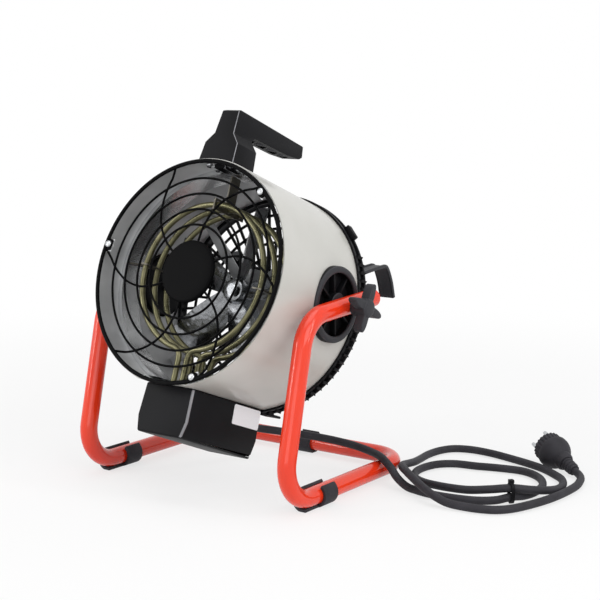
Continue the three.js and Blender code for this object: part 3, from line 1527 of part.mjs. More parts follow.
// The whole heater: the stand on the floor, the tilted drum in it, the cord beside it.
const heater = new THREE.Group();
const stand = new THREE.Group();
const drumGroup = new THREE.Group();
const cordGroup = new THREE.Group();
stand.add(standTube(), feet());
drumGroup.add(
  outerCasing(), frontGrille(), grilleDisc(), grilleScrews(), heatShield(), heatingElements(),
  elementSupports(), fanImpeller(), motorShaft(), fanMotor(), motorBracket(), rearGuard(),
  guardScrews(), handle(), handleScrews(), controlBox(), controlPanel(), panelScrews(), controls(),
  terminalBlock(), thermalCutout(), cableGland(), glandNut(), ratingLabel(),
);
for (const [side, sign] of [['left', -1], ['right', 1]]) {
  drumGroup.add(
    pivotCup(`pivot_cup_${side}`, sign), pivotBolt(`pivot_bolt_${side}`, sign),
    starKnob(`star_knob_${side}`, sign), cableHook(`cable_hook_${side}`, sign),
  );
}
drumGroup.position.set(0, pivotY, pivotZ);
drumGroup.rotation.x = -tiltAngle;
cordGroup.add(cord(), plug(), cableTie());
heater.add(stand, drumGroup, cordGroup);

// The origin goes under the middle of everything but the cord.
heater.updateMatrixWorld(true);
const extent = new THREE.Box3();
for (const group of [stand, drumGroup]) extent.expandByObject(group, true);
const middle = extent.getCenter(new THREE.Vector3());
heater.position.set(-middle.x, -middle.y, -extent.min.z);
console.log(`origin moved by ${heater.position.toArray().map((v) => v.toFixed(3)).join(', ')} mm`);

export default heater;
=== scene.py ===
import json
from math import asin, atan, cos, pi, radians, sin, sqrt, tan, tau

import bmesh
import bpy
from mathutils import Matrix, Vector


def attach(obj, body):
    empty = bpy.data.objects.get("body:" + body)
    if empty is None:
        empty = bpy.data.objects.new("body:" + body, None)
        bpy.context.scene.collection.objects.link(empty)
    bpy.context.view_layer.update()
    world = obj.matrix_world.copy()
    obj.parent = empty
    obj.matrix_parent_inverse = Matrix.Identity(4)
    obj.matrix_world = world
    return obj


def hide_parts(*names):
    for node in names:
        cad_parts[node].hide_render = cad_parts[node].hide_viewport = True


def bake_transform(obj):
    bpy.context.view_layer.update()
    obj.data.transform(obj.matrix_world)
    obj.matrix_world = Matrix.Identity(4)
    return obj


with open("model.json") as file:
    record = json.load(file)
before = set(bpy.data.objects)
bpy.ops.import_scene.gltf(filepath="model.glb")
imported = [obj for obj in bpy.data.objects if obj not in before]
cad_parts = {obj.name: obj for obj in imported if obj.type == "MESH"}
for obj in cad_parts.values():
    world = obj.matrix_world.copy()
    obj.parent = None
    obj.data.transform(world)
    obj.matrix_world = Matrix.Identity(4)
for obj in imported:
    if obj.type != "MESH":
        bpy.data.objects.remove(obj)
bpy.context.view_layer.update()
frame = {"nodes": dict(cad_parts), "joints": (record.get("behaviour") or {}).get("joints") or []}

# Camera
# The heater is seen from its front right, a little above the middle of its drum, through a long
# lens, so that its uprights stay nearly parallel.
scene = bpy.context.scene
eye = Vector((0.9912, -1.2681, 0.4603))
aim = Vector((0.0254, 0.0803, 0.1961))
camera_data = bpy.data.cameras.new("camera")
camera_data.lens = 86.36
camera_data.sensor_width = 36
camera = bpy.data.objects.new("camera", camera_data)
scene.collection.objects.link(camera)
camera.location = eye
camera.rotation_euler = (aim - eye).to_track_quat("-Z", "Y").to_euler()
scene.camera = camera
scene.view_settings.view_transform = "Standard"

# Mains cord
# Rubber-sheathed mains cord, 9 mm thick. It leaves the box under the drum, crosses the right floor
# run and lies on the floor in two loose loops, then ends in the plug.
mm = 0.001
pivot = Vector(next(joint["pos_m"] for joint in frame["joints"] if joint["name"] == "drum_tilt"))
pivot_depth = 120  # behind the stand's front corners
drum_tilt = radians(-20.95)
stand_place = Matrix.Translation((0, pivot.y - pivot_depth * mm, 0)) @ Matrix.Scale(mm, 4)
drum_place = Matrix.Translation(pivot) @ Matrix.Rotation(drum_tilt, 4, "X") @ Matrix.Scale(mm, 4)
cord_radius, cord_rest = 4.5, 4.75
gland_height, gland_mouth = -142, 60.3
gland_exit = drum_place @ Vector((0, gland_mouth, gland_height))
gland_heading = (drum_place @ Vector((0, gland_mouth + 1, gland_height)) - gland_exit).normalized()
plug_radius, plug_rim_half, plug_reach = 19.5, 2.5, 44.5
plug_turn, plug_lift = radians(149.5), radians(15.5)
plug_heading = Vector((cos(plug_turn) * cos(plug_lift), sin(plug_turn) * cos(plug_lift), sin(plug_lift)))
plug_height = plug_radius * cos(plug_lift) + plug_rim_half * sin(plug_lift) + 0.15
plug_mouth = Vector((279.5, 350, plug_height)) - plug_heading * plug_reach
cord_route = [  # a point that gives no height lies on the floor
    (0, 149.6, 47.6), (14, 172, 41.6), (36, 186, 38), (67, 197, 34.6), (100, 199.5, 31.6),
    (124, 195, 29.6), (141, 187.5, 28.6), (153, 180.5, 26.4), (164, 175.5, 21), (175, 171.5, 12.4),
    (190, 167.5, 5.8), (206, 164), (227.5, 160.5), (256, 163), (277, 169), (294, 180.5, 5.4),
    (304.5, 194.5, 7.4), (311, 212.5, 5.4), (313.5, 235.5), (309.5, 260), (297.5, 281.5), (281, 295.5),
    (263, 301.5), (233, 296.5), (211, 289.5), (185, 283.5), (170, 270), (164, 249), (166, 227),
    (177, 207, 4.8), (197.5, 191, 6.6), (222, 180.5, 9.2), (240, 177, 10.6), (262, 177.5, 12),
    (284.5, 184.5, 14.8), (304.5, 194.5, 17.2), (320, 209.5, 14.4), (328.5, 229, 10.5), (331, 254, 6.5),
    (325.5, 279), (315, 297), (301, 309), (279, 324), (255, 334), (233, 341), (194.5, 350.5),
    (167, 350.5), (149.5, 342), (141, 325.5), (138.5, 302.5), (142.5, 277, 5.6), (150, 251, 9),
    (155.5, 228, 13), (161, 207, 17), (171, 188.5, 20.4), (185.5, 173.5, 21.2), (204, 159.5, 18.6),
    (223, 147.5, 15), (241, 140.5, 10.5), (257, 139.5, 6.2), (280, 142), (299, 146), (311, 152.5),
    (321, 165), (331, 191.5), (338.5, 225.5), (340.9, 258), (340, 283), (336, 300), (331.5, 312.5, 4.8),
]


def smooth_line(points, steps):
    """A smooth line through points, closer to its corners the nearer they lie."""
    points = [Vector(point) for point in points]
    points = [2 * points[0] - points[1], *points, 2 * points[-1] - points[-2]]
    line = []
    for before, start, end, after in zip(points, points[1:], points[2:], points[3:]):
        first = sqrt((start - before).length)
        second = first + sqrt((end - start).length)
        third = second + sqrt((after - end).length)
        for step in range(steps):
            t = first + (second - first) * step / steps
            share = (t - first) / (second - first)
            a = before.lerp(start, t / first)
            b = start.lerp(end, share)
            c = end.lerp(after, (t - second) / (third - second))
            line.append(a.lerp(b, t / second).lerp(b.lerp(c, (t - first) / (third - first)), share))
    return [*line, points[-2].copy()]


def moved(x, y, z):
    """The matrix of a shift."""
    return Matrix.Translation((x, y, z))


def only(items, kind=bmesh.types.BMVert):
    """The verts, or the edges, among what an operation made."""
    return [item for item in items if isinstance(item, kind)]


def swept(line, radius, sides, bore=0):
    """Carries a round section along a line of points, turning it with the line."""
    part = bmesh.new()
    last = len(line) - 1
    ways = [(line[min(i + 1, last)] - line[max(i - 1, 0)]).normalized() for i in range(len(line))]
    place = Matrix.Translation(line[0]) @ ways[0].to_track_quat("Z", "Y").to_matrix().to_4x4()
    bmesh.ops.create_circle(part, cap_ends=False, radius=radius, segments=sides, matrix=place)
    if bore:
        bmesh.ops.create_circle(part, cap_ends=False, radius=bore, segments=sides, matrix=place)
    edges = part.edges[:]
    ends = [edges]
    for i in range(1, len(line)):
        made = bmesh.ops.extrude_edge_only(part, edges=edges)["geom"]
        edges = only(made, bmesh.types.BMEdge)
        turn = ways[i - 1].rotation_difference(ways[i]).to_matrix().to_4x4()
        move = Matrix.Translation(line[i]) @ turn @ Matrix.Translation(-line[i - 1])
        bmesh.ops.transform(part, matrix=move, verts=only(made))
    ends.append(edges)
    for loop in ends:
        if bore:
            bmesh.ops.bridge_loops(part, edges=loop)
        else:
            bmesh.ops.contextual_create(part, geom=loop)
    return part


def finished(part, name, finish, place, sharp=32):
    """Makes a piece of a mesh: joined, facing out, smooth between its sharp edges, in its place."""
    bmesh.ops.remove_doubles(part, verts=part.verts, dist=0.002)
    bmesh.ops.transform(part, matrix=place, verts=part.verts)
    bmesh.ops.recalc_face_normals(part, faces=part.faces)
    mesh = bpy.data.meshes.new(name)
    part.to_mesh(mesh)
    part.free()
    mesh.shade_smooth()
    mesh.set_sharp_from_angle(angle=radians(sharp))
    mesh.materials.append(finish.material)
    made = bpy.data.objects.new(name, mesh)
    scene.collection.objects.link(made)
    return made


def fitted(made, body, slot, *nodes):
    """The piece takes the place of its solids and moves with their body."""
    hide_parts(*nodes)
    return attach(made, body)


def tint(red, green, blue):
    """A colour as the eye sees it, 0 to 255, in the linear values that a shader takes."""
    shares = [value / 255 for value in (red, green, blue)]
    linear = [
        value / 12.92 if value <= 0.04045 else ((value + 0.055) / 1.055) ** 2.4 for value in shares
    ]
    return (*linear, 1)


class Value:
    """A socket of a material, so that sums with it are written as sums."""

    def __init__(self, finish, socket):
        self.finish = finish
        self.socket = socket

    def sum(self, operation, first, second=0.0):
        return self.finish.node("ShaderNodeMath", {"operation": operation}, {0: first, 1: second})

    def __add__(self, other):
        return self.sum("ADD", self, other)

    __radd__ = __add__

    def __sub__(self, other):
        return self.sum("SUBTRACT", self, other)

    def __rsub__(self, other):
        return self.sum("SUBTRACT", other, self)

    def __mul__(self, other):
        return self.sum("MULTIPLY", self, other)

    __rmul__ = __mul__


class Finish:
    """A material made of nodes round one surface shader."""

    def __init__(self, name, **sockets):
        self.material = bpy.data.materials.new(name)
        self.material.use_nodes = True
        self.tree = self.material.node_tree
        self.shader = self.tree.nodes["Principled BSDF"]
        self.place = self.node("ShaderNodeTexCoord", output="Object")
        self.set(self.shader, {key.replace("_", " "): value for key, value in sockets.items()})

    def set(self, made, values):
        for key, value in values.items():
            if isinstance(value, Value):
                self.tree.links.new(value.socket, made.inputs[key])
            else:
                made.inputs[key].default_value = value

    def node(self, kind, settings={}, values={}, output=0):
        made = self.tree.nodes.new(kind)
        for key, value in settings.items():
            if key == "stops":
                while len(made.color_ramp.elements) < len(value):
                    made.color_ramp.elements.new(1)
                for element, (position, colour) in zip(made.color_ramp.elements, value):
                    element.position = position
                    element.color = colour
            else:
                setattr(made, key, value)
        self.set(made, values)
        return Value(self, made.outputs[output])

    def grain(self, scale, detail=3, stretch=None):
        """Fine cloudy noise, at a count per metre, drawn out along an axis where stretch says so."""
        place = self.place
        if stretch:
            place = self.node("ShaderNodeMapping", {}, {"Vector": place, "Scale": stretch})
        return self.node("ShaderNodeTexNoise", {}, {"Vector": place, "Scale": scale, "Detail": detail})

    def blend(self, factor, first, second):
        return self.node("ShaderNodeMix", {"data_type": "RGBA"}, {0: factor, 6: first, 7: second}, 2)

    def ramp(self, factor, *stops):
        stops = [(position, (grey, grey, grey, 1)) for position, grey in stops]
        return self.node("ShaderNodeValToRGB", {"stops": stops}, {0: factor})

    def grained(self, grain, low, high, roughness, relief, depth=0.0001):
        """A finish whose colour, roughness and relief all follow one noise."""
        noise = self.grain(*grain)
        start, spread = roughness
        return self.surface(
            Base_Color=self.blend(noise, tint(*low), tint(*high)),
            Roughness=start + spread * noise,
            height=noise,
            relief=relief,
            depth=depth,
        )

    def surface(self, height=None, relief=0.1, depth=0.0001, **sockets):
        values = {key.replace("_", " "): value for key, value in sockets.items()}
        if height:
            values["Normal"] = self.node(
                "ShaderNodeBump", {}, {"Strength": relief, "Distance": depth, "Height": height}
            )
        self.set(self.shader, values)
        return self


rubber = Finish("rubber", Specular_IOR_Level=0.2)
powder = rubber.grain(2200, 2)
wiped = rubber.grain(38, 4)
rubber.surface(
    Base_Color=rubber.blend(
        rubber.ramp(wiped, (0.35, 0), (0.7, 1)), tint(42, 41, 45), tint(56, 55, 60)
    ),
    Roughness=0.48 + 0.16 * powder + 0.12 * wiped,
    height=powder,
    relief=0.35,
)

route = [stand_place @ Vector((*point, cord_rest)[:3]) for point in cord_route]
cord_end = stand_place @ (plug_mouth - plug_heading * 0.3)
straight = 2 * cord_radius * mm  # the cord leaves the gland and enters the plug straight
cord_line = smooth_line(
    [
        gland_exit, gland_exit + gland_heading * straight, *route,
        cord_end - plug_heading * straight, cord_end,
    ],
    8,
)
sheath = swept([point / mm for point in cord_line], cord_radius, 20)
mains_cord = finished(sheath, "mains_cord", rubber, Matrix.Scale(mm, 4))
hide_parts("cord_lead", "cord_loops", "cord_tail")

# Plug
# Round rubber plug: a sleeve with three ribs round the cord, a domed grip with a collar, and a
# notched rim round the face, with two plated pins. It lies on its rim, the face turned away.


def turned(profile, steps):
    """A body of revolution round Y from (radius, y) pairs."""
    part = bmesh.new()
    verts = [part.verts.new((radius, y, 0)) for radius, y in profile]
    edges = [part.edges.new(pair) for pair in zip(verts, verts[1:])]
    bmesh.ops.spin(
        part, geom=verts + edges, cent=(0, 0, 0), axis=(0, 1, 0), angle=tau, steps=steps,
        use_merge=True,
    )
    bmesh.ops.remove_doubles(part, verts=part.verts, dist=0.002)
    bmesh.ops.recalc_face_normals(part, faces=part.faces)
    return part


def eased(part, edge, segments=2, angle=28):
    """Rounds the sharp edges of a part."""
    part.normal_update()
    limit = radians(angle)
    sharp = [side for side in part.edges if side.is_manifold and side.calc_face_angle(0) > limit]
    bmesh.ops.bevel(
        part, geom=sharp, offset=edge, offset_type="OFFSET", segments=segments, profile=0.5,
        affect="EDGES", material=-1, clamp_overlap=True,
    )
    return part


def thickened(part, vec):
    """Gives flat faces a thickness."""
    grown = bmesh.ops.extrude_face_region(part, geom=part.faces[:])["geom"]
    bmesh.ops.translate(part, verts=only(grown), vec=vec)
    return part


def plate(outline, thickness, edge=0, corner=0, segments=2):
    """An outline in x and y with rounded corners, made thick along z, its edges eased."""
    part = bmesh.new()
    part.faces.new([part.verts.new((x, y, 0)) for x, y in outline])
    if corner:
        bmesh.ops.bevel(
            part, geom=part.verts[:], offset=corner, offset_type="OFFSET", segments=5, profile=0.5,
            affect="VERTICES", material=-1, clamp_overlap=True,
        )
    thickened(part, (0, 0, thickness))
    bmesh.ops.recalc_face_normals(part, faces=part.faces)
    return eased(part, edge, segments) if edge else part


def block(low, high, edge=0):
    """A block between two corners."""
    part = bmesh.new()
    bmesh.ops.create_cube(part, size=1)
    size = Vector(high) - Vector(low)
    bmesh.ops.scale(part, vec=size, verts=part.verts)
    bmesh.ops.translate(part, vec=Vector(low) + size / 2, verts=part.verts)
    return eased(part, edge) if edge else part


def facing(y):
    """Stands a plate up across the drum, thick towards the rear from y."""
    return Matrix(((1, 0, 0, 0), (0, 0, 1, y), (0, 1, 0, 0), (0, 0, 0, 1)))


def sideways(x):
    """Stands a plate up along the drum, thick towards the right from x."""
    return Matrix(((0, 0, 1, x), (1, 0, 0, 0), (0, 1, 0, 0), (0, 0, 0, 1)))


def put(whole, part, place=Matrix()):
    """Adds a part to a piece, in its place."""
    bmesh.ops.transform(part, matrix=place, verts=part.verts)
    bmesh.ops.recalc_face_normals(part, faces=part.faces)
    mesh = bpy.data.meshes.new("part")
    part.to_mesh(mesh)
    part.free()
    whole.from_mesh(mesh)
    bpy.data.meshes.remove(mesh)
    return whole


def round_about(angle):
    """Turns a part round the drum's axis, anticlockwise as seen from the front, from its right."""
    return Matrix.Rotation(radians(-angle), 4, "Y")


plug_place = (
    stand_place
    @ Matrix.Translation(plug_mouth)
    @ Vector((0, 1, 0)).rotation_difference(plug_heading).to_matrix().to_4x4()
)
sleeve = turned([
    (0, 0), (6, 0), (6.4, 0.5), (6.3, 3.4), (7.4, 3.9), (7.4, 6), (6.5, 6.5), (6.6, 8.3), (7.6, 8.8),
    (7.6, 10.9), (6.8, 11.4), (6.9, 13.2), (7.8, 13.7), (7.8, 15.8), (7.2, 16.3), (7.2, 17), (0, 17),
], 48)
plug_sleeve = fitted(finished(sleeve, "cord_sleeve", rubber, plug_place), "stand", "rubber", "plug_sleeve")
grip = turned([
    (0, 17.3), (8.6, 17.3), (9.6, 18.2), (10.7, 20.5), (11, 22.5), (11, 26), (12.1, 27), (14, 29.4),
    (16.2, 32.6), (18, 36), (19.1, 39.4), (19.5, 42), (19.5, 46.2), (19.1, 47), (17, 47.2), (0, 47.2),
], 64)
notch_count, face_radius, notch_radius = 24, 18, 17.1
notches = []
for i in range(notch_count):
    for step, radius in ((0, face_radius), (0.5, face_radius), (0.56, notch_radius), (0.94, notch_radius)):
        angle = tau * (i + step) / notch_count
        notches.append((radius * cos(angle), radius * sin(angle)))
put(grip, plate(notches, 11.6, 0.4, segments=1), facing(47))
pin_turn, pin_offset = 37, 9.5
pin_places = [
    round_about(pin_turn) @ moved(x, 0, 0) for x in (pin_offset, -pin_offset)
]
for place in pin_places:
    put(grip, turned([(0, 58), (3.6, 58), (3.6, 59.1), (0, 59.1)], 24), place)
plug_grip = fitted(finished(grip, "plug_grip", rubber, plug_place), "stand", "rubber", "plug_body")

plated = Finish("plated_steel", Metallic=1.0).grained(
    (420, 3), (176, 178, 180), (206, 208, 210), (0.2, 0.2), relief=0.08
)
for i, place in enumerate(pin_places):
    pin = turned([(0, 59.3), (2.4, 59.3), (2.4, 76), (2.1, 77.4), (1.3, 78.1), (0, 78.3)], 32)
    made = finished(pin, f"contact_pin_{i + 1}", plated, plug_place @ place)
    fitted(made, "stand", "screw_steel", f"plug_pin_{i + 1}")

# Cable tie
# Nylon tie pulled round the cord where two strands of the loops cross, its end cut short.


def arc(radius, start, end, steps, centre=(0, 0)):
    """Points on an arc, from one angle to another in degrees."""
    angles = [radians(start + (end - start) * i / steps) for i in range(steps + 1)]
    return [(centre[0] + radius * cos(angle), centre[1] + radius * sin(angle)) for angle in angles]


black = Finish("black_plastic", Specular_IOR_Level=0.1)
spark = black.grain(2600, 2)
haze = black.grain(24, 4)
black.surface(
    Base_Color=black.blend(black.ramp(haze, (0.3, 0), (0.75, 1)), tint(13, 13, 15), tint(20, 20, 23)),
    Roughness=0.36 + 0.14 * spark + 0.1 * haze,
    height=spark,
    relief=0.3,
)
tie_width = 3.6
lower_strand, upper_strand = 7.4, 17.2
tie = bmesh.new()
for radius in (5.8, 7.1):
    loop = [*arc(radius, 0, 180, 16, (0, upper_strand)), *arc(radius, 180, 360, 16, (0, lower_strand))]
    corners = [tie.verts.new((x, -tie_width / 2, z)) for x, z in loop]
    for pair in zip(corners, corners[1:] + corners[:1]):
        tie.edges.new(pair)
bmesh.ops.bridge_loops(tie, edges=tie.edges[:])
thickened(tie, (0, tie_width, 0))
put(tie, block((-3.4, -2.8, 23.2), (2.7, 2.8, 26.6), 0.6))
put(tie, block((2.4, -1.7, 24), (2.8, 1.7, 25.4)))
tie_place = stand_place @ moved(304.5, 194.5, 0) @ Matrix.Rotation(radians(-42), 4, "Z")
cord_tie = fitted(finished(tie, "cord_tie", black, tie_place), "stand", "black_plastic", "cable_tie")

# Stand
# One steel tube, 20 mm across, bent into two uprights, two floor runs and a rear crossbar, drilled
# for the two pivot bolts and coated in glossy red enamel.


def bent_line(corners, bend, steps):
    """Straights through corners, joined by arcs of one bend radius."""
    corners = [Vector(corner) for corner in corners]
    line = [corners[0]]
    for before, corner, after in zip(corners, corners[1:], corners[2:]):
        into = (corner - before).normalized()
        turn = into.angle(after - corner)
        axis = into.cross(after - corner).normalized()
        start = corner - into * bend * tan(turn / 2)
        centre = start + axis.cross(into) * bend
        for step in range(steps + 1):
            line.append(centre + Matrix.Rotation(turn * step / steps, 3, axis) @ (start - centre))
    return [*line, corners[-1]]


def carved(part, tool, operation="DIFFERENCE"):
    """Cuts one solid out of another, or joins or intersects them."""
    pair = []
    for solid in (part, tool):
        bmesh.ops.recalc_face_normals(solid, faces=solid.faces)
        mesh = bpy.data.meshes.new("solid")
        solid.to_mesh(mesh)
        solid.free()
        pair.append(bpy.data.objects.new("solid", mesh))
        scene.collection.objects.link(pair[-1])
    cut = pair[0].modifiers.new("cut", "BOOLEAN")
    cut.object = pair[1]
    cut.operation = operation
    cut.solver = "EXACT"
    made = bmesh.new()
    made.from_object(pair[0], bpy.context.evaluated_depsgraph_get())
    for solid in pair:
        bpy.data.meshes.remove(solid.data)
    return made


def rod(radius, start, end, steps=32):
    """A plain rod along Y."""
    return turned([(0, start), (radius, start), (radius, end), (0, end)], steps)


def paint_edge_highlight(made, finish, towards):
    """Paints a highlight on the eased edges that look one way, in the drum's frame, as a lighter finish of
    their own.
    """
    made.data.materials.append(finish.material)
    way = (drum_place.to_3x3() @ Vector(towards)).normalized()
    for face in made.data.polygons:
        if face.normal.dot(way) > 0.8:
            face.material_index = 1
    return made


def outwards(angle, distance=0, y=0):
    """Turns a part that lies along Y to point out of the drum, at an angle seen from its front."""
    swing = Matrix.Rotation(radians(-90), 4, "Z")
    return moved(0, y, 0) @ round_about(angle) @ moved(distance, 0, 0) @ swing


def on_drum(part, name, finish, slot, node):
    """Finishes a part of the drum as a piece and fits it."""
    return fitted(finished(part, name, finish, drum_place), "drum", slot, node)


enamel = Finish("red_enamel", Specular_IOR_Level=0.5)
cloud = enamel.grain(11, 3)
peel = enamel.grain(420, 1)
enamel.surface(
    Base_Color=enamel.blend(enamel.ramp(cloud, (0.3, 0), (0.7, 1)), tint(220, 46, 20), tint(232, 60, 28)),
    Roughness=0.1 + 0.08 * cloud,
    height=peel,
    relief=0.12,
)
tube_radius, tube_bore, tube_bend, bolt_hole = 10, 8.4, 40, 4.3
stand_half, floor_line, stand_depth = 140.3, 13.2, 244.5
side = [
    (stand_half, 172, 212.45), (stand_half, 44.5, 206.44), (stand_half, 0, floor_line),
    (stand_half, stand_depth, floor_line),
]
corners = [*side, *((-x, y, z) for x, y, z in reversed(side))]
tube = swept(bent_line(corners, tube_bend, 14), tube_radius, 48, bore=tube_bore)
across = moved(0, pivot_depth, pivot.z / mm) @ Matrix.Rotation(radians(90), 4, "Z")
tube = carved(tube, put(bmesh.new(), rod(bolt_hole, -170, 170), across))
fitted(finished(tube, "bent_tube", enamel, stand_place), "stand", "red_enamel", "stand_tube")

# Rubber feet
# Black rubber clips pressed round the floor runs and the crossbar from below, flat where they
# stand. The left half of each front one runs on forwards along the tube.
clip_outside, clip_inside, clip_length = 13.9, 10.3, 24


def foot_clip(reach):
    """A clip round a tube along Y, open at the top, whose left half may reach on forwards."""
    left, sole_end = arc(clip_outside, 125, 251.7, 22), (4.3, -floor_line)
    ring = [*left, sole_end, *arc(clip_outside, 289.5, 415, 22), *arc(clip_inside, 415, 125, 44)]
    part = put(bmesh.new(), plate(ring, clip_length, 0.8, segments=3), facing(-clip_length / 2))
    if reach:
        half = [*left, sole_end, *arc(clip_inside, 292, 125, 26)]
        put(part, plate(half, reach + 2, 0.6), facing(-clip_length / 2 - reach))
    return part


for name, x in (("left", -stand_half), ("right", stand_half)):
    place = stand_place @ moved(x, 74, floor_line)
    clip = finished(foot_clip(24), f"rubber_foot_{name}", rubber, place)
    fitted(clip, "stand", "rubber", f"foot_clip_front_{name}")
place = stand_place @ moved(0, stand_depth, floor_line) @ Matrix.Rotation(radians(90), 4, "Z")
fitted(finished(foot_clip(0), "rubber_foot_rear", rubber, place), "stand", "rubber", "foot_clip_rear")

# Drum casing
# Rolled steel sheet with a flat for the control box, painted light grey outside and bare zinc
# inside, with small ears at both ends for the grille's and the guard's screws.
drum_radius, front, rear = 126.5, -106.6, 40.8
sheet_thickness, screw_hole, screw_circle = 1.2, 2.3, 119.8
flank_half, flat_half, flat_z = 50, 33, -122.5
grille_screws = (50, 170, 290)
guard_screws = (90, 210, 330)
handle_screws = [(angle, y) for angle in (90 - 6.81, 90 + 6.81) for y in (-91, -75)]

sheet_paint = Finish("drum_paint", Coat_Weight=0.25, Coat_Roughness=0.08)
mottle = sheet_paint.grain(16, 4)
orange = sheet_paint.grain(700, 1)
sheet_paint.surface(
    Base_Color=sheet_paint.blend(
        sheet_paint.ramp(mottle, (0.3, 0), (0.7, 1)), tint(186, 185, 179), tint(194, 193, 188)
    ),
    Roughness=0.3 + 0.08 * mottle,
    height=orange,
    relief=0.1,
)
bare = Finish("bare_zinc", Metallic=0.45)
bands = bare.grain(26, 2, (1, 0.12, 1))
spangle = bare.grain(180, 3)
bare.surface(
    Base_Color=bare.blend(
        bare.ramp(bands, (0.3, 0), (0.7, 1)), tint(176, 177, 179), tint(210, 211, 212)
    ),
    Roughness=0.36 + 0.14 * bands + 0.06 * spangle,
    height=spangle,
    relief=0.05,
)
casing = bmesh.new()
flank_z = -sqrt(drum_radius**2 - flank_half**2)
start = casing.verts.new((-flank_half, front, flank_z))
round_part = tau - 2 * asin(flank_half / drum_radius)
spun = bmesh.ops.spin(
    casing, geom=[start], cent=(0, 0, 0), axis=(0, 1, 0), angle=round_part, steps=150
)
flat = [casing.verts.new((x, front, flat_z)) for x in (flat_half, -flat_half)]
flat = [spun["geom_last"][0], *flat, start]
for pair in zip(flat, flat[1:]):
    casing.edges.new(pair)
rolled = bmesh.ops.extrude_edge_only(casing, edges=casing.edges[:])["geom"]
bmesh.ops.translate(casing, verts=only(rolled), vec=(0, rear - front, 0))
bmesh.ops.recalc_face_normals(casing, faces=casing.faces)
bmesh.ops.solidify(casing, geom=casing.faces[:], thickness=sheet_thickness)
cutters = bmesh.new()
for angle in (0, 180):
    put(cutters, rod(37.3, 90, 150, 64), outwards(angle))
put(cutters, block((-22, -76.4, -130), (22, -41.6, -110)))
for angle, y in handle_screws:
    put(cutters, rod(screw_hole, 120, 130), outwards(angle, 0, y))
casing = carved(casing, cutters)
for angles, y in ((grille_screws, front), (guard_screws, rear - sheet_thickness)):
    for angle in angles:
        ear = block((114.9, y, -7), (125.9, y + sheet_thickness, 7))
        hole = put(bmesh.new(), rod(screw_hole, y - 5, y + 5), moved(screw_circle, 0, 0))
        put(casing, carved(ear, hole), round_about(angle))
drum = finished(casing, "rolled_drum", sheet_paint, drum_place)
drum.data.materials.append(bare.material)
axis_start = drum_place @ Vector((0, 0, 0))
axis_way = (drum_place @ Vector((0, 1, 0)) - axis_start).normalized()
for face in drum.data.polygons:
    spoke = face.center - axis_start
    spoke -= axis_way * spoke.dot(axis_way)
    outwardness = face.normal.dot(spoke)
    on_roll = spoke.length > 0.1256
    on_flat = abs(face.center.x) < flank_half * mm and spoke.length > 0.1216 and outwardness > 0
    face.material_index = 0 if (on_roll or on_flat) and outwardness > -0.02 else 1
fitted(drum, "drum", "drum_paint", "outer_casing")

# Handle
# Moulded black handle: a flared post on the drum and a grip behind it, open along its underside in
# triangular cells. Four screws from inside the drum hold it.
handle_side = [
    (-100, 120.5), (-61, 120.5), (-61, 161), (-56, 166), (7, 168), (32, 171), (37, 174.5),
    (35.75, 188), (-88, 188.5), (-93, 186), (-100, 126.5),
]
half = [(24, 120.5), (24, 126.5), (22.5, 148), (13.2, 159.5), (11.5, 187), (10, 188.5)]
handle_face = [*half, *((-x, z) for x, z in reversed(half))]
grip = put(bmesh.new(), plate(handle_side, 120), sideways(-60))
grip = carved(grip, put(bmesh.new(), plate(handle_face, 300), facing(-200)), "INTERSECT")
bmesh.ops.dissolve_limit(grip, angle_limit=radians(1), verts=grip.verts, edges=grip.edges)
eased(grip, 1.3, 3, 20)
saddle_radius = drum_radius + 0.3
cutters = put(bmesh.new(), rod(saddle_radius, -150, 150, 160))
hollow_half, first_cell, cell_step, cell_share = 7.8, -56.6, 11, 0.8
put(cutters, block((-hollow_half, -90.8, 100), (hollow_half, -63.2, 184.1), 1))
for i in range(7):
    corners = [
        Vector((hollow_half if k % 2 else -hollow_half, first_cell + cell_step * k)) for k in range(i, i + 3)
    ]
    middle = sum(corners, Vector((0, 0))) / 3
    cell = [middle + (corner - middle) * cell_share for corner in corners]
    put(cutters, plate(cell, 59.3, 0, 0.8), moved(0, 0, drum_radius))
for angle, y in handle_screws:
    put(cutters, rod(screw_hole, 118, 134), outwards(angle, 0, y))
grip = carved(grip, cutters)
# Painted highlight: a light grey laid on the black plastic's eased edges that face the right-hand lamp, where
# its reflection falls.
painted_highlight_grey = Finish("painted_edge_highlight", Specular_IOR_Level=0.8).grained(
    (60, 3), (96, 96, 100), (132, 132, 137), (0.22, 0.12), relief=0.04
)
# The handle's edges that face front right take the painted highlight.
moulded = paint_edge_highlight(finished(grip, "moulded_handle", black, drum_place, 24), painted_highlight_grey, (1, -1, 0))
fitted(moulded, "drum", "black_plastic", "handle")

# Screws
# Bright pan-head screws with a cross recess: three for the grille, four for the handle, three for
# the rear guard and two for the control panel.


def pan_screw(length):
    """A screw along Y, its head's seat at zero."""
    profile = [(0, -2.4), (1.6, -2.4), (2.7, -2.1), (3.5, -1.5), (3.95, -0.7), (4, 0), (2, 0)]
    pitch = 0.5
    thread = [(2 if i % 2 else 1.6, 0.8 + pitch * i) for i in range(int((length - 1.6) / pitch))]
    screw = turned([*profile, *thread, (1.2, length), (0, length)], 28)
    arm = [(2.1, -0.4), (2.1, 0.4), (0.4, 0.4)]
    quarters = ((1, 0), (0, 1), (-1, 0), (0, -1))
    cross = [(x * c - z * s, x * s + z * c) for c, s in quarters for x, z in arm]
    return carved(screw, put(bmesh.new(), plate(cross, 2.7), facing(-4)))


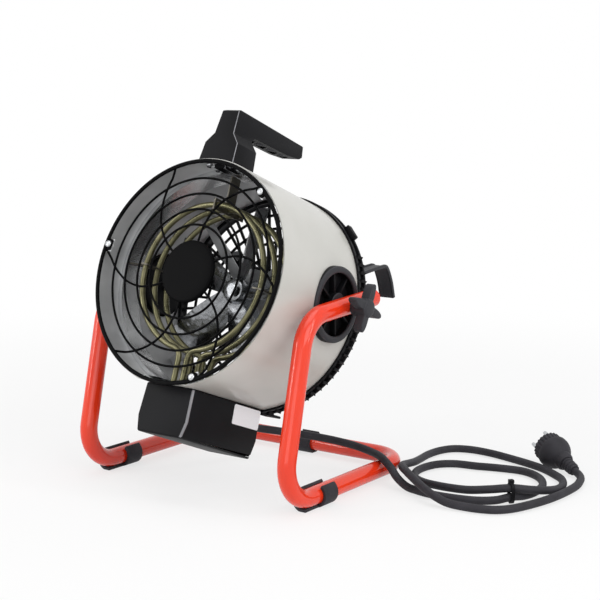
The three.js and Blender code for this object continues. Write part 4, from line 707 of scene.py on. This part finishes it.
short_screw, long_screw = 9, 17.8
panel_screw_x, panel_screw_z = 25, -130.5
places = []
for i, angle in enumerate(grille_screws):
    seat = round_about(angle) @ moved(screw_circle, -109.2, 0)
    places.append((f"grille_screw_{i + 1}", short_screw, seat))
for i, (angle, y) in enumerate(handle_screws):
    places.append((f"handle_screw_{i + 1}", short_screw, outwards(angle, 124.7, y)))
turn_back = Matrix.Rotation(pi, 4, "X")
for i, angle in enumerate(guard_screws):
    seat = round_about(angle) @ moved(screw_circle, 54.3, 0)
    places.append((f"guard_screw_{i + 1}", long_screw, seat @ turn_back))
for i, x in enumerate((panel_screw_x, -panel_screw_x)):
    seat = moved(x, 35.3, panel_screw_z)
    places.append((f"panel_screw_{i + 1}", short_screw, seat @ turn_back))
for name, length, place in places:
    screw = finished(pan_screw(length), name.replace("screw", "pan_screw"), plated, drum_place @ place)
    fitted(screw, "drum", "screw_steel", name)

# Heat shield
# Bright zinc ring behind the outlet, held off the drum by its two turned-out edges and open at the
# bottom for the legs of the elements.
liner = Finish("bright_zinc", Metallic=1.0).grained(
    (30, 3, (1, 0.2, 1)), (186, 187, 188), (214, 215, 216), (0.2, 0.06), relief=0.01
)
ring = turned([
    (120.3, -70), (125, -70), (125, -68.8), (121.5, -68.8), (121.5, -40.2), (125, -40.2), (125, -39),
    (120.3, -39), (120.3, -70),
], 120)
ring = carved(ring, block((-flank_half, -80, -140), (flank_half, -30, -114.3)))
on_drum(ring, "bright_shield", liner, "zinc_sheet", "heat_shield")

# Heating elements
# Three equal sheathed tubular elements, one behind another, each bent to an open ring whose ends
# are drawn together and run down through the drum's flat. Three drilled plates carry them.
sheath = Finish("element_sheath", Metallic=0.75)
fired = sheath.grain(60, 4)
drawn = sheath.grain(900, 2)
sheath.surface(
    Base_Color=sheath.blend(sheath.ramp(fired, (0.3, 0), (0.75, 1)), tint(84, 82, 58), tint(126, 122, 92)),
    Roughness=0.2 + 0.18 * fired,
    height=drawn,
    relief=0.12,
)
ring_radius, sheath_radius, first_ring, ring_step = 82, 3.3, -80, 21.5
leg = [(6, -131.5), (6, -100), (6.3, -90), (8.6, -84)]
bend = [*leg, *arc(ring_radius, -80.17, 260.17, 64), *((-x, z) for x, z in reversed(leg))]
for i in range(3):
    line = smooth_line([(x, first_ring + ring_step * i, z) for x, z in bend], 3)
    element = swept(line, sheath_radius, 20)
    on_drum(element, f"element_ring_{i + 1}", sheath, "element_rod", f"heating_element_{i + 1}")


def coated(finish, *nodes):
    """Gives a solid that is right as it is its own finish."""
    for name in nodes:
        frame["nodes"][name].data.materials.clear()
        frame["nodes"][name].data.materials.append(finish.material)


heated = Finish("heat_tinted_steel", Metallic=0.8).grained(
    (90, 3), (78, 75, 68), (112, 108, 98), (0.34, 0.16), relief=0.06
)
coated(heated, "element_support_1", "element_support_2", "element_support_3")

# Fan, motor and bracket
# Pressed aluminium fan with five twisted blades on the shaft of a black motor, which a four-armed
# zinc bracket holds in the drum. A small disc cutout in the drum guards against overheating.
aluminium = Finish("bright_aluminium", Metallic=1.0).grained(
    (34, 3), (132, 134, 137), (172, 174, 177), (0.1, 0.12), relief=0.5, depth=0.004
)
fan = turned([
    (0, -23.6), (4, -24), (10, -23.4), (13, -21.6), (14.6, -18), (15, -14), (15, -2.6), (14.4, -2),
    (4.3, -2), (4.3, -15.7), (0, -15.7),
], 64)
blade_count, first_blade, blade_twist, blade_middle = 5, 14, 56, -13
for i in range(blade_count):
    blade = bmesh.new()
    bmesh.ops.create_grid(blade, x_segments=12, y_segments=10, size=0.5)
    for vert in blade.verts:
        along, over = vert.co.x + 0.5, vert.co.y + 0.5
        lead = -13.8 - 9.6 * sin(2.2 * along)
        trail = 12.9 + 6.9 * sin(2.6 * along)
        width = lead + (trail - lead) * over
        vert.co = (13 + 85 * along, width, 0.9 - 0.006 * width * width)
    bmesh.ops.solidify(blade, geom=blade.faces[:], thickness=1.3)
    place = moved(0, blade_middle, 0) @ round_about(first_blade + 360 / blade_count * i)
    put(fan, blade, place @ Matrix.Rotation(radians(blade_twist), 4, "X"))
fitted(finished(fan, "pressed_fan", aluminium, drum_place), "fan", "fan_aluminium", "fan_impeller")
coated(plated, "motor_shaft")

motor_paint = Finish("motor_enamel", Specular_IOR_Level=0.4).grained(
    (120, 4), (28, 28, 30), (46, 46, 48), (0.4, 0.2), relief=0.1
)
motor_radius, groove_radius = 36, 34.6
fins = []
for i in range(6):
    y = 15 + 3.6 * i
    fins += [(motor_radius, y), (motor_radius, y + 1.6), (groove_radius, y + 2), (groove_radius, y + 3.4)]
motor = turned([
    (0, 10), (4.3, 10), (4.3, 7), (9.6, 7), (10, 7.4), (10, 11), (32, 11), (35, 11.8),
    (motor_radius, 13), *fins, (motor_radius, 37), (35, 39.4), (32.4, 41), (14, 41), (13, 40), (0, 40),
], 72)
on_drum(motor, "ribbed_motor", motor_paint, "motor_black", "fan_motor")
coated(bare, "motor_bracket")

ivory = Finish("ivory_plastic", Specular_IOR_Level=0.45).grained(
    (300, 3), (205, 199, 182), (218, 213, 198), (0.42, 0.12), relief=0.08
)
coated(ivory, "thermal_cutout", "terminal_block", "thermostat", "selector_switch")

# Control box
# Moulded black tray under the drum's flat, creased at half its height, rounded along its bottom
# edges. A blank white label is stuck on its right side.
tray_side = [(-91, -122.8), (-93, -177), (37.7, -180.5), (35, -122.8)]
half = [(29, -181), (31, -175), (34.5, -159.5), (33, -122.5)]
tray_face = [(0, -181.5), *half, *((-x, z) for x, z in reversed(half))]
tray = put(bmesh.new(), plate(tray_side, 100), sideways(-50))
tray = carved(tray, put(bmesh.new(), plate(tray_face, 300), facing(-200)), "INTERSECT")
bmesh.ops.dissolve_limit(tray, angle_limit=radians(0.5), verts=tray.verts, edges=tray.edges)
eased(tray, 2.2, 4, 40)
inner_side = [(-88.8, -110), (-88.8, -122.8), (-90.8, -174.8), (50, -178.6), (50, -110)]
cutters = put(bmesh.new(), plate(inner_side, 61.6), sideways(-30.8))
tray = carved(tray, cutters)
for x in (-panel_screw_x, panel_screw_x):
    left, right = (-30.9, -21) if x < 0 else (21, 30.9)
    boss = block((left, 23.5, panel_screw_z - 4), (right, 32.5, panel_screw_z + 4))
    hole = put(bmesh.new(), rod(screw_hole, 20, 40), moved(x, 0, panel_screw_z))
    put(tray, carved(boss, hole))
# The tray's edges that face front right take the painted highlight.
moulded = paint_edge_highlight(finished(tray, "moulded_tray", black, drum_place, 24), painted_highlight_grey, (1, -1, 0))
fitted(moulded, "drum", "black_plastic", "control_box")

paper = Finish("label_film", Coat_Weight=0.25, Coat_Roughness=0.2).grained(
    (500, 3), (236, 237, 240), (244, 245, 248), (0.4, 0.1), relief=0.05
)
label_lean = Matrix.Rotation(-atan(1.5 / 37), 4, "Y")
label_place = drum_place @ moved(34.3, -15.5, -147.2) @ label_lean @ sideways(0)
label = plate([(0, 0), (49.5, 0), (49.5, 22), (0, 22)], 0.4, 0, 2)
fitted(finished(label, "blank_label", paper, label_place), "drum", "label_white", "rating_label")

# Rear panel and controls
# Black panel in the tray's open rear, held by two screws. It carries two winged dials over plain
# ticks, and the cord's gland with a ribbed tapered relief.
dial_x, dial_z = 16, -164.5
panel_outline = [(-30.5, -177.7), (30.5, -177.7), (30.5, -123.1), (-30.5, -123.1)]
panel = put(bmesh.new(), plate(panel_outline, 2.2, 0.4, 1.2), facing(32.8))
openings = (
    (dial_x, dial_z, 3.3), (-dial_x, dial_z, 3.3), (0, gland_height, 6.8),
    (panel_screw_x, panel_screw_z, screw_hole), (-panel_screw_x, panel_screw_z, screw_hole),
)
holes = bmesh.new()
for x, z, radius in openings:
    put(holes, rod(radius, 30, 38), moved(x, 0, z))
on_drum(carved(panel, holes), "control_plate", black, "black_plastic", "control_panel")

ticks = bmesh.new()
dials = (
    ("thermostat_knob", "thermostat_dial", dial_x, 11, 270),
    ("selector_knob", "selector_dial", -dial_x, 4, 180),
)
for *_, x, count, sweep in dials:
    for i in range(count):
        turn = Matrix.Rotation(radians(-90 - sweep / 2 + sweep * i / (count - 1)), 4, "Y")
        place = moved(x, 0, dial_z) @ turn
        put(ticks, block((12.5, 34.99, -0.3), (14.2 if i % 5 else 14.6, 35.12, 0.3)), place)
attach(finished(ticks, "dial_ticks", paper, drum_place), "drum")

wing_side = [(-8.5, 39.6), (8.5, 39.6), (8.1, 47.4), (7.2, 48.3), (-7.2, 48.3), (-8.1, 47.4)]
for node, body, x, *_ in dials:
    knob = turned([
        (3.3, 43.4), (3.3, 35.3), (11.4, 35.3), (12, 35.8), (12, 38.8), (11.6, 39.6), (9.4, 41),
        (8.6, 41.8), (0, 41.8), (0, 43.4), (3.3, 43.4),
    ], 64)
    put(knob, plate(wing_side, 6, 0.8, segments=3), moved(0, 0, -3))
    for i in range(30):
        put(knob, block((11.8, 36.2, -0.45), (12, 39, 0.45)), round_about(12 * i))
    place = drum_place @ moved(x, 0, dial_z)
    dial = finished(knob, node.replace("_knob", "_wing_dial"), black, place)
    fitted(dial, body, "black_plastic", node)

ribs = []
for i in range(6):
    radius, y = 7.9 - 0.27 * i, 42 + 2.9 * i
    ribs += [(radius, y), (radius, y + 1.7), (radius - 1, y + 1.9), (radius - 1.1, y + 2.8)]
gland = turned([
    (0, 21.3), (6.3, 21.3), (6.5, 21.6), (6.5, 35.3), (8, 35.3), (8, 41.4), *ribs, (6, 59.6), (5.6, 60),
    (0, 60),
], 48)
hexagon = [(9 * cos(radians(60 * i)), 9 * sin(radians(60 * i))) for i in range(6)]
put(gland, plate(hexagon, 5, 0.5), facing(35.3))
gland_place = drum_place @ moved(0, 0, gland_height)
fitted(finished(gland, "cord_relief", black, gland_place), "drum", "black_plastic", "cable_gland")
coated(black, "gland_nut")
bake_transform(mains_cord)

# Outlet grille
# Black powder-coated steel: a rim, four wire rings, a flat inner ring and six curved spokes welded
# together, with three screw tabs. A blank disc with a turned-back edge covers the middle.
powder_black = Finish("grille_black", Specular_IOR_Level=0.03).grained(
    (1500, 2), (5, 5, 6), (9, 9, 10), (0.34, 0.16), relief=0.2
)


def wire_ring(radius, y, wire):
    """A ring of round wire about the drum's axis."""
    return turned([(radius + x, y + z) for x, z in arc(wire, 0, 360, 12)], 120)


def flat_ring(inner, outer, start, end, edge, steps=120):
    """A ring of flat section about the drum's axis, its four edges cut off."""
    return turned([
        (inner, start + edge), (inner + edge, start), (outer - edge, start), (outer, start + edge),
        (outer, end - edge), (outer - edge, end), (inner + edge, end), (inner, end - edge),
        (inner, start + edge),
    ], steps)


wire_radius, spoke_depth, rim_depth = 1.3, -102.8, -108.2
spoke_end, spoke_span, spoke_sweep, first_spoke = 123.05, 88.45, 32, 52.2
grille = put(bmesh.new(), flat_ring(120.8, 125.3, -110.4, -106.9, 1))
for radius in (52.1, 69.6, 87.1, 104.6):
    put(grille, wire_ring(radius, -104.75, wire_radius))
put(grille, flat_ring(30.1, 34.6, spoke_depth, -101.5, 0.3))
for i in range(6):
    line = []
    for radius in (spoke_end, 114.2, 104.2, 87, 69.4, 50, 32):
        curve = spoke_sweep * sin(radians(90 * (spoke_end - radius) / spoke_span))
        turn = radians(first_spoke + 60 * i + curve)
        depth = rim_depth if radius == spoke_end else spoke_depth
        line.append((radius * cos(turn), depth, radius * sin(turn)))
    line = [Vector((point.x, min(point.y, spoke_depth), point.z)) for point in smooth_line(line, 8)]
    put(grille, swept(line, wire_radius, 12))
for angle in grille_screws:
    tab = plate([(115.5, -6.5), (124, -6.5), (124, 6.5), (115.5, 6.5)], 2, 0.4, 2.5)
    put(grille, tab, round_about(angle) @ facing(-108.9))
on_drum(grille, "welded_grille", powder_black, "grille_black", "front_grille")
disc = turned([
    (0, -106.1), (20, -106.05), (32, -105.9), (33.6, -105.5), (34.4, -104.8), (34.6, -104.4), (33.4, -104.4),
    (0, -104.4),
], 96)
on_drum(disc, "blank_disc", powder_black, "grille_black", "grille_disc")

# Rear guard
# Moulded black guard pushed over the drum's rear edge: wedge teeth between two rings, plain over
# the top, a grate of rings and ribs, a hub plate and a low foot. Three screws hold it.


def beside_cups(part):
    """Makes room in a ring of the guard for the flanges of the pivot cups."""
    room = bmesh.new()
    for angle in (0, 180):
        put(room, rod(42.6, 60, 140, 64), outwards(angle))
    return carved(part, room)


tooth_count, toothless_half = 84, 13.5
rim_steps = 2 * tooth_count
grate_front, grate_back = 51.6, 54
guard = put(bmesh.new(), beside_cups(flat_ring(121.7, 128.6, 41.1, 43.4, 0.4, rim_steps)))
put(guard, beside_cups(flat_ring(126.9, 129.2, 38.8, 43, 0.3, rim_steps)))
put(guard, flat_ring(121.7, 129.4, 50.6, grate_back, 0.6, rim_steps))
for i in range(tooth_count):
    if abs(i - tooth_count / 4) < toothless_half:
        continue
    tooth = plate([(121.9, -1.4), (129, -2), (132, 0), (129, 1.8), (121.9, 0.2)], 9.6)
    turn = round_about(360 * i / tooth_count)
    bmesh.ops.transform(tooth, matrix=turn @ facing(42.6), verts=tooth.verts)
    if all(abs(vert.co.z) < 48 for vert in tooth.verts):
        for side in (1, -1):
            cut = bmesh.ops.bisect_plane(
                tooth, geom=[*tooth.verts, *tooth.edges, *tooth.faces], plane_co=(side * 129.5, 0, 0),
                plane_no=(side, 0, 0), clear_outer=True,
            )["geom_cut"]
            rim = only(cut, bmesh.types.BMEdge)
            if rim:
                bmesh.ops.contextual_create(tooth, geom=rim)
    put(guard, tooth)
for i in range(5):
    radius = 40 + 17 * i
    put(guard, flat_ring(radius, radius + 3, grate_front, grate_back, 0.3, 96))
rib_count = 48
for i in range(rib_count):
    rib = block((41 if i % 2 else 23, grate_front, -1.5), (122.5, grate_back, 1.5))
    put(guard, rib, round_about(360 / rib_count * i))
put(guard, turned([(0, grate_front), (24, grate_front), (24, 53.4), (23.4, grate_back), (0, grate_back)], 64))
put(guard, block((11, grate_front, -127.1), (33, 76, -124.2), 1))
put(guard, block((127.5, 46, -9), (134.5, grate_back, 9), 1.2), round_about(45))
hook_x, hook_half = 107, 10
for x in (-hook_x, hook_x):
    put(guard, block((x - hook_half, grate_front, 36), (x + hook_half, grate_back, 50), 0.5))
for angle in guard_screws:
    post = carved(rod(6, 41.1, grate_back), put(bmesh.new(), rod(screw_hole, 30, 60)))
    put(guard, post, round_about(angle) @ moved(screw_circle, 0, 0))
on_drum(guard, "toothed_guard", black, "black_plastic", "rear_guard")

# Cable hooks
# Two flat black hooks moulded with raised edges, fixed to the guard's grate, round which the cord
# is wound for storage.


def strap(points, low, high):
    """The outline of a bent strap, from below to above its centre line, seen from the side."""
    line = smooth_line([(*point, 0) for point in points], 6)
    last = len(line) - 1
    edges = [[], []]
    for i, point in enumerate(line):
        way = (line[min(i + 1, last)] - line[max(i - 1, 0)]).normalized()
        for edge, offset in zip(edges, (low, high)):
            edge.append((point.x - way.y * offset, point.y + way.x * offset))
    return [*edges[0], *reversed(edges[1])]


knob_black = Finish("knob_plastic", Specular_IOR_Level=0.2).grained(
    (1800, 2), (42, 42, 46), (54, 54, 58), (0.42, 0.16), relief=0.3
)
hook_line = [
    (56.3, 36), (56.3, 45), (57.8, 49), (62, 51.4), (93, 66), (98, 67.9), (102.6, 67.6), (116.8, 56.2),
    (130.3, 38.5),
]
edge_width = 3
for name, x in (("left", -hook_x), ("right", hook_x)):
    hook = put(bmesh.new(), plate(strap(hook_line, -2, 0.6), 19, 0.3), sideways(x - 9.5))
    for edge in (x - hook_half, x + hook_half - edge_width):
        put(hook, plate(strap(hook_line, -2, 2), edge_width, 0.7), sideways(edge))
    on_drum(hook, f"cord_hook_{name}", knob_black, "black_plastic", f"cable_hook_{name}")

# Pivots
# In each side of the drum a black moulded cup with a rolled flange and eight ribs, through which a
# zinc bolt runs into a four-armed star knob that clamps the stand's tube.
cup_floor, cup_ribs = 116.5, 8
star_y, star_turn, star_thickness = 158.6, -7, 11


def washer(inner, outer, start, end, steps):
    """A ring of square section about its own axis."""
    return turned([(inner, start), (outer, start), (outer, end), (inner, end), (inner, start)], steps)


for name, angle in (("right", 0), ("left", 180)):
    flange = turned([
        (34.5, 113), (42, 113), (42, 127), (41.4, 128.5), (40, 129.3), (38.4, 129.5), (36.2, 129.3),
        (35, 128.6), (34.5, 127.2), (34.5, 113),
    ], 96)
    bmesh.ops.transform(flange, matrix=outwards(angle), verts=flange.verts)
    cup = carved(flange, rod(saddle_radius, -80, 80, 200))
    put(cup, washer(34.5, 37, cup_floor, 127, 96), outwards(angle))
    put(cup, washer(bolt_hole, 36.8, cup_floor, 118.9, 64), outwards(angle))
    hub = turned([
        (bolt_hole, 116.6), (13, 116.6), (13, 129.2), (12.3, 130), (bolt_hole, 130), (bolt_hole, 116.6),
    ], 48)
    put(cup, hub, outwards(angle))
    for i in range(cup_ribs):
        rib = block((12, 117, -1.2), (35.5, 125.5, 1.2), 0.4)
        put(cup, rib, outwards(angle) @ round_about(360 / cup_ribs * (i + 0.5)))
    cup = finished(cup, f"ribbed_cup_{name}", black, drum_place)
    # What stands out of the drum's side takes the lighter knob plastic while the recess keeps the dark black:
    # painted light on the exposed flange and painted shade in the recess of one black moulding.
    cup.data.materials.append(knob_black.material)
    for face in cup.data.polygons:
        if abs(face.center.x) > 0.1262:  # what stands out of the drum's side
            face.material_index = 1
    fitted(cup, "drum", "black_plastic", f"pivot_cup_{name}")
    coated(liner, f"pivot_bolt_{name}")

    outline = []
    for i in range(160):
        turn = tau * i / 160
        share = abs(((turn / tau * 4 + 0.5) % 1) - 0.5) * 2
        radius = 9.4 + 18.1 * (cos(pi * share) / 2 + 0.5) ** 2.6
        outline.append((radius * cos(turn), radius * sin(turn)))
    lay = Matrix.Rotation(radians(-90), 4, "X") @ Matrix.Rotation(radians(star_turn), 4, "Z")
    star = put(bmesh.new(), plate(outline, star_thickness, 2.4, segments=4), lay)
    put(star, turned([
        (bolt_hole, -8), (9, -8), (9.5, -7.4), (9.5, 0), (10.5, 3), (10.4, 10.6), (9.2, 11.9),
        (6.8, 12.5), (0, 12.6), (0, 5.3), (bolt_hole, 5.3), (bolt_hole, -8),
    ], 64))
    place = drum_place @ outwards(angle) @ moved(0, star_y, 0)
    star = finished(star, f"clamping_star_{name}", knob_black, place, 40)
    fitted(star, f"star_{name}", "black_plastic", f"star_knob_{name}")

# Floor and light
# A plain pale studio floor that fades to white away from the heater, large soft lamps above and at
# both sides, a weak low one in front, and two narrow ones that draw bright lines on the tube.
floor_finish = Finish("studio_floor", Roughness=0.9, Specular_IOR_Level=0.1)
floor_finish.surface(Base_Color=tint(236, 236, 236))
tree = floor_finish.tree
outputs = floor_finish.node("ShaderNodeLightPath").socket.node.outputs
seen = Value(floor_finish, outputs["Is Camera Ray"]) + Value(floor_finish, outputs["Is Glossy Ray"])
seen = seen + Value(floor_finish, outputs["Is Transmission Ray"])
away = floor_finish.node("ShaderNodeVectorMath", {"operation": "LENGTH"}, {0: floor_finish.place}, 1)
fade = floor_finish.node(
    "ShaderNodeMapRange", {"interpolation_type": "SMOOTHSTEP"}, {0: away, 1: 0.25, 2: 1.3, 3: 0.7, 4: 1.0}
)
white = tree.nodes.new("ShaderNodeEmission")
mix = tree.nodes.new("ShaderNodeMixShader")
tree.links.new((fade * seen.sum("MINIMUM", seen, 1.0)).socket, mix.inputs[0])
tree.links.new(floor_finish.shader.outputs[0], mix.inputs[1])
tree.links.new(white.outputs[0], mix.inputs[2])
tree.links.new(mix.outputs[0], tree.nodes["Material Output"].inputs[0])
sheet = bmesh.new()
bmesh.ops.create_grid(sheet, x_segments=2, y_segments=2, size=8)
bmesh.ops.translate(sheet, verts=sheet.verts, vec=(0, 0, -0.0006))
finished(sheet, "studio_sheet", floor_finish, Matrix())

world = bpy.data.worlds.new("studio")
world.use_nodes = True
scene.world = world
nodes, links = world.node_tree.nodes, world.node_tree.links
nodes["Background"].inputs[0].default_value = (1, 1, 1, 1)
path = nodes.new("ShaderNodeLightPath")
total = path.outputs["Is Camera Ray"]
for name in ("Is Glossy Ray", "Is Transmission Ray"):
    more = nodes.new("ShaderNodeMath")
    more.operation = "MAXIMUM"
    links.new(total, more.inputs[0])
    links.new(path.outputs[name], more.inputs[1])
    total = more.outputs[0]
level = nodes.new("ShaderNodeMapRange")
level.inputs[3].default_value = 0.5
level.inputs[4].default_value = 1.0
links.new(total, level.inputs[0])
links.new(level.outputs[0], nodes["Background"].inputs[1])

drum_height = (0, 0, 0.2)
lamps = (
    ("top_lamp", (0.1, -0.1, 2.1), drum_height, 1.6, 1.6, 13),
    ("right_lamp", (1.7, -0.7, 1.2), drum_height, 1.3, 1.3, 12),
    ("left_lamp", (-1.5, -1.4, 0.9), drum_height, 1.2, 1.2, 9),
    ("low_lamp", (0.8, -1.6, 0.3), drum_height, 1.1, 0.5, 2.5),
    ("line_lamp_left", (-0.9, -1.3, 0.9), (0, 0, 0.15), 0.06, 1.3, 5),
    ("line_lamp_right", (1.5, 0.15, 0.9), (0.1, 0, 0.15), 0.06, 1.3, 5),
)
for name, place, towards, width, height, power in lamps:
    lamp = bpy.data.lights.new(name, "AREA")
    lamp.shape = "RECTANGLE"
    lamp.size = width
    lamp.size_y = height
    lamp.energy = power
    held = bpy.data.objects.new(name, lamp)
    scene.collection.objects.link(held)
    held.location = place
    held.rotation_euler = (Vector(towards) - Vector(place)).to_track_quat("-Z", "Y").to_euler()
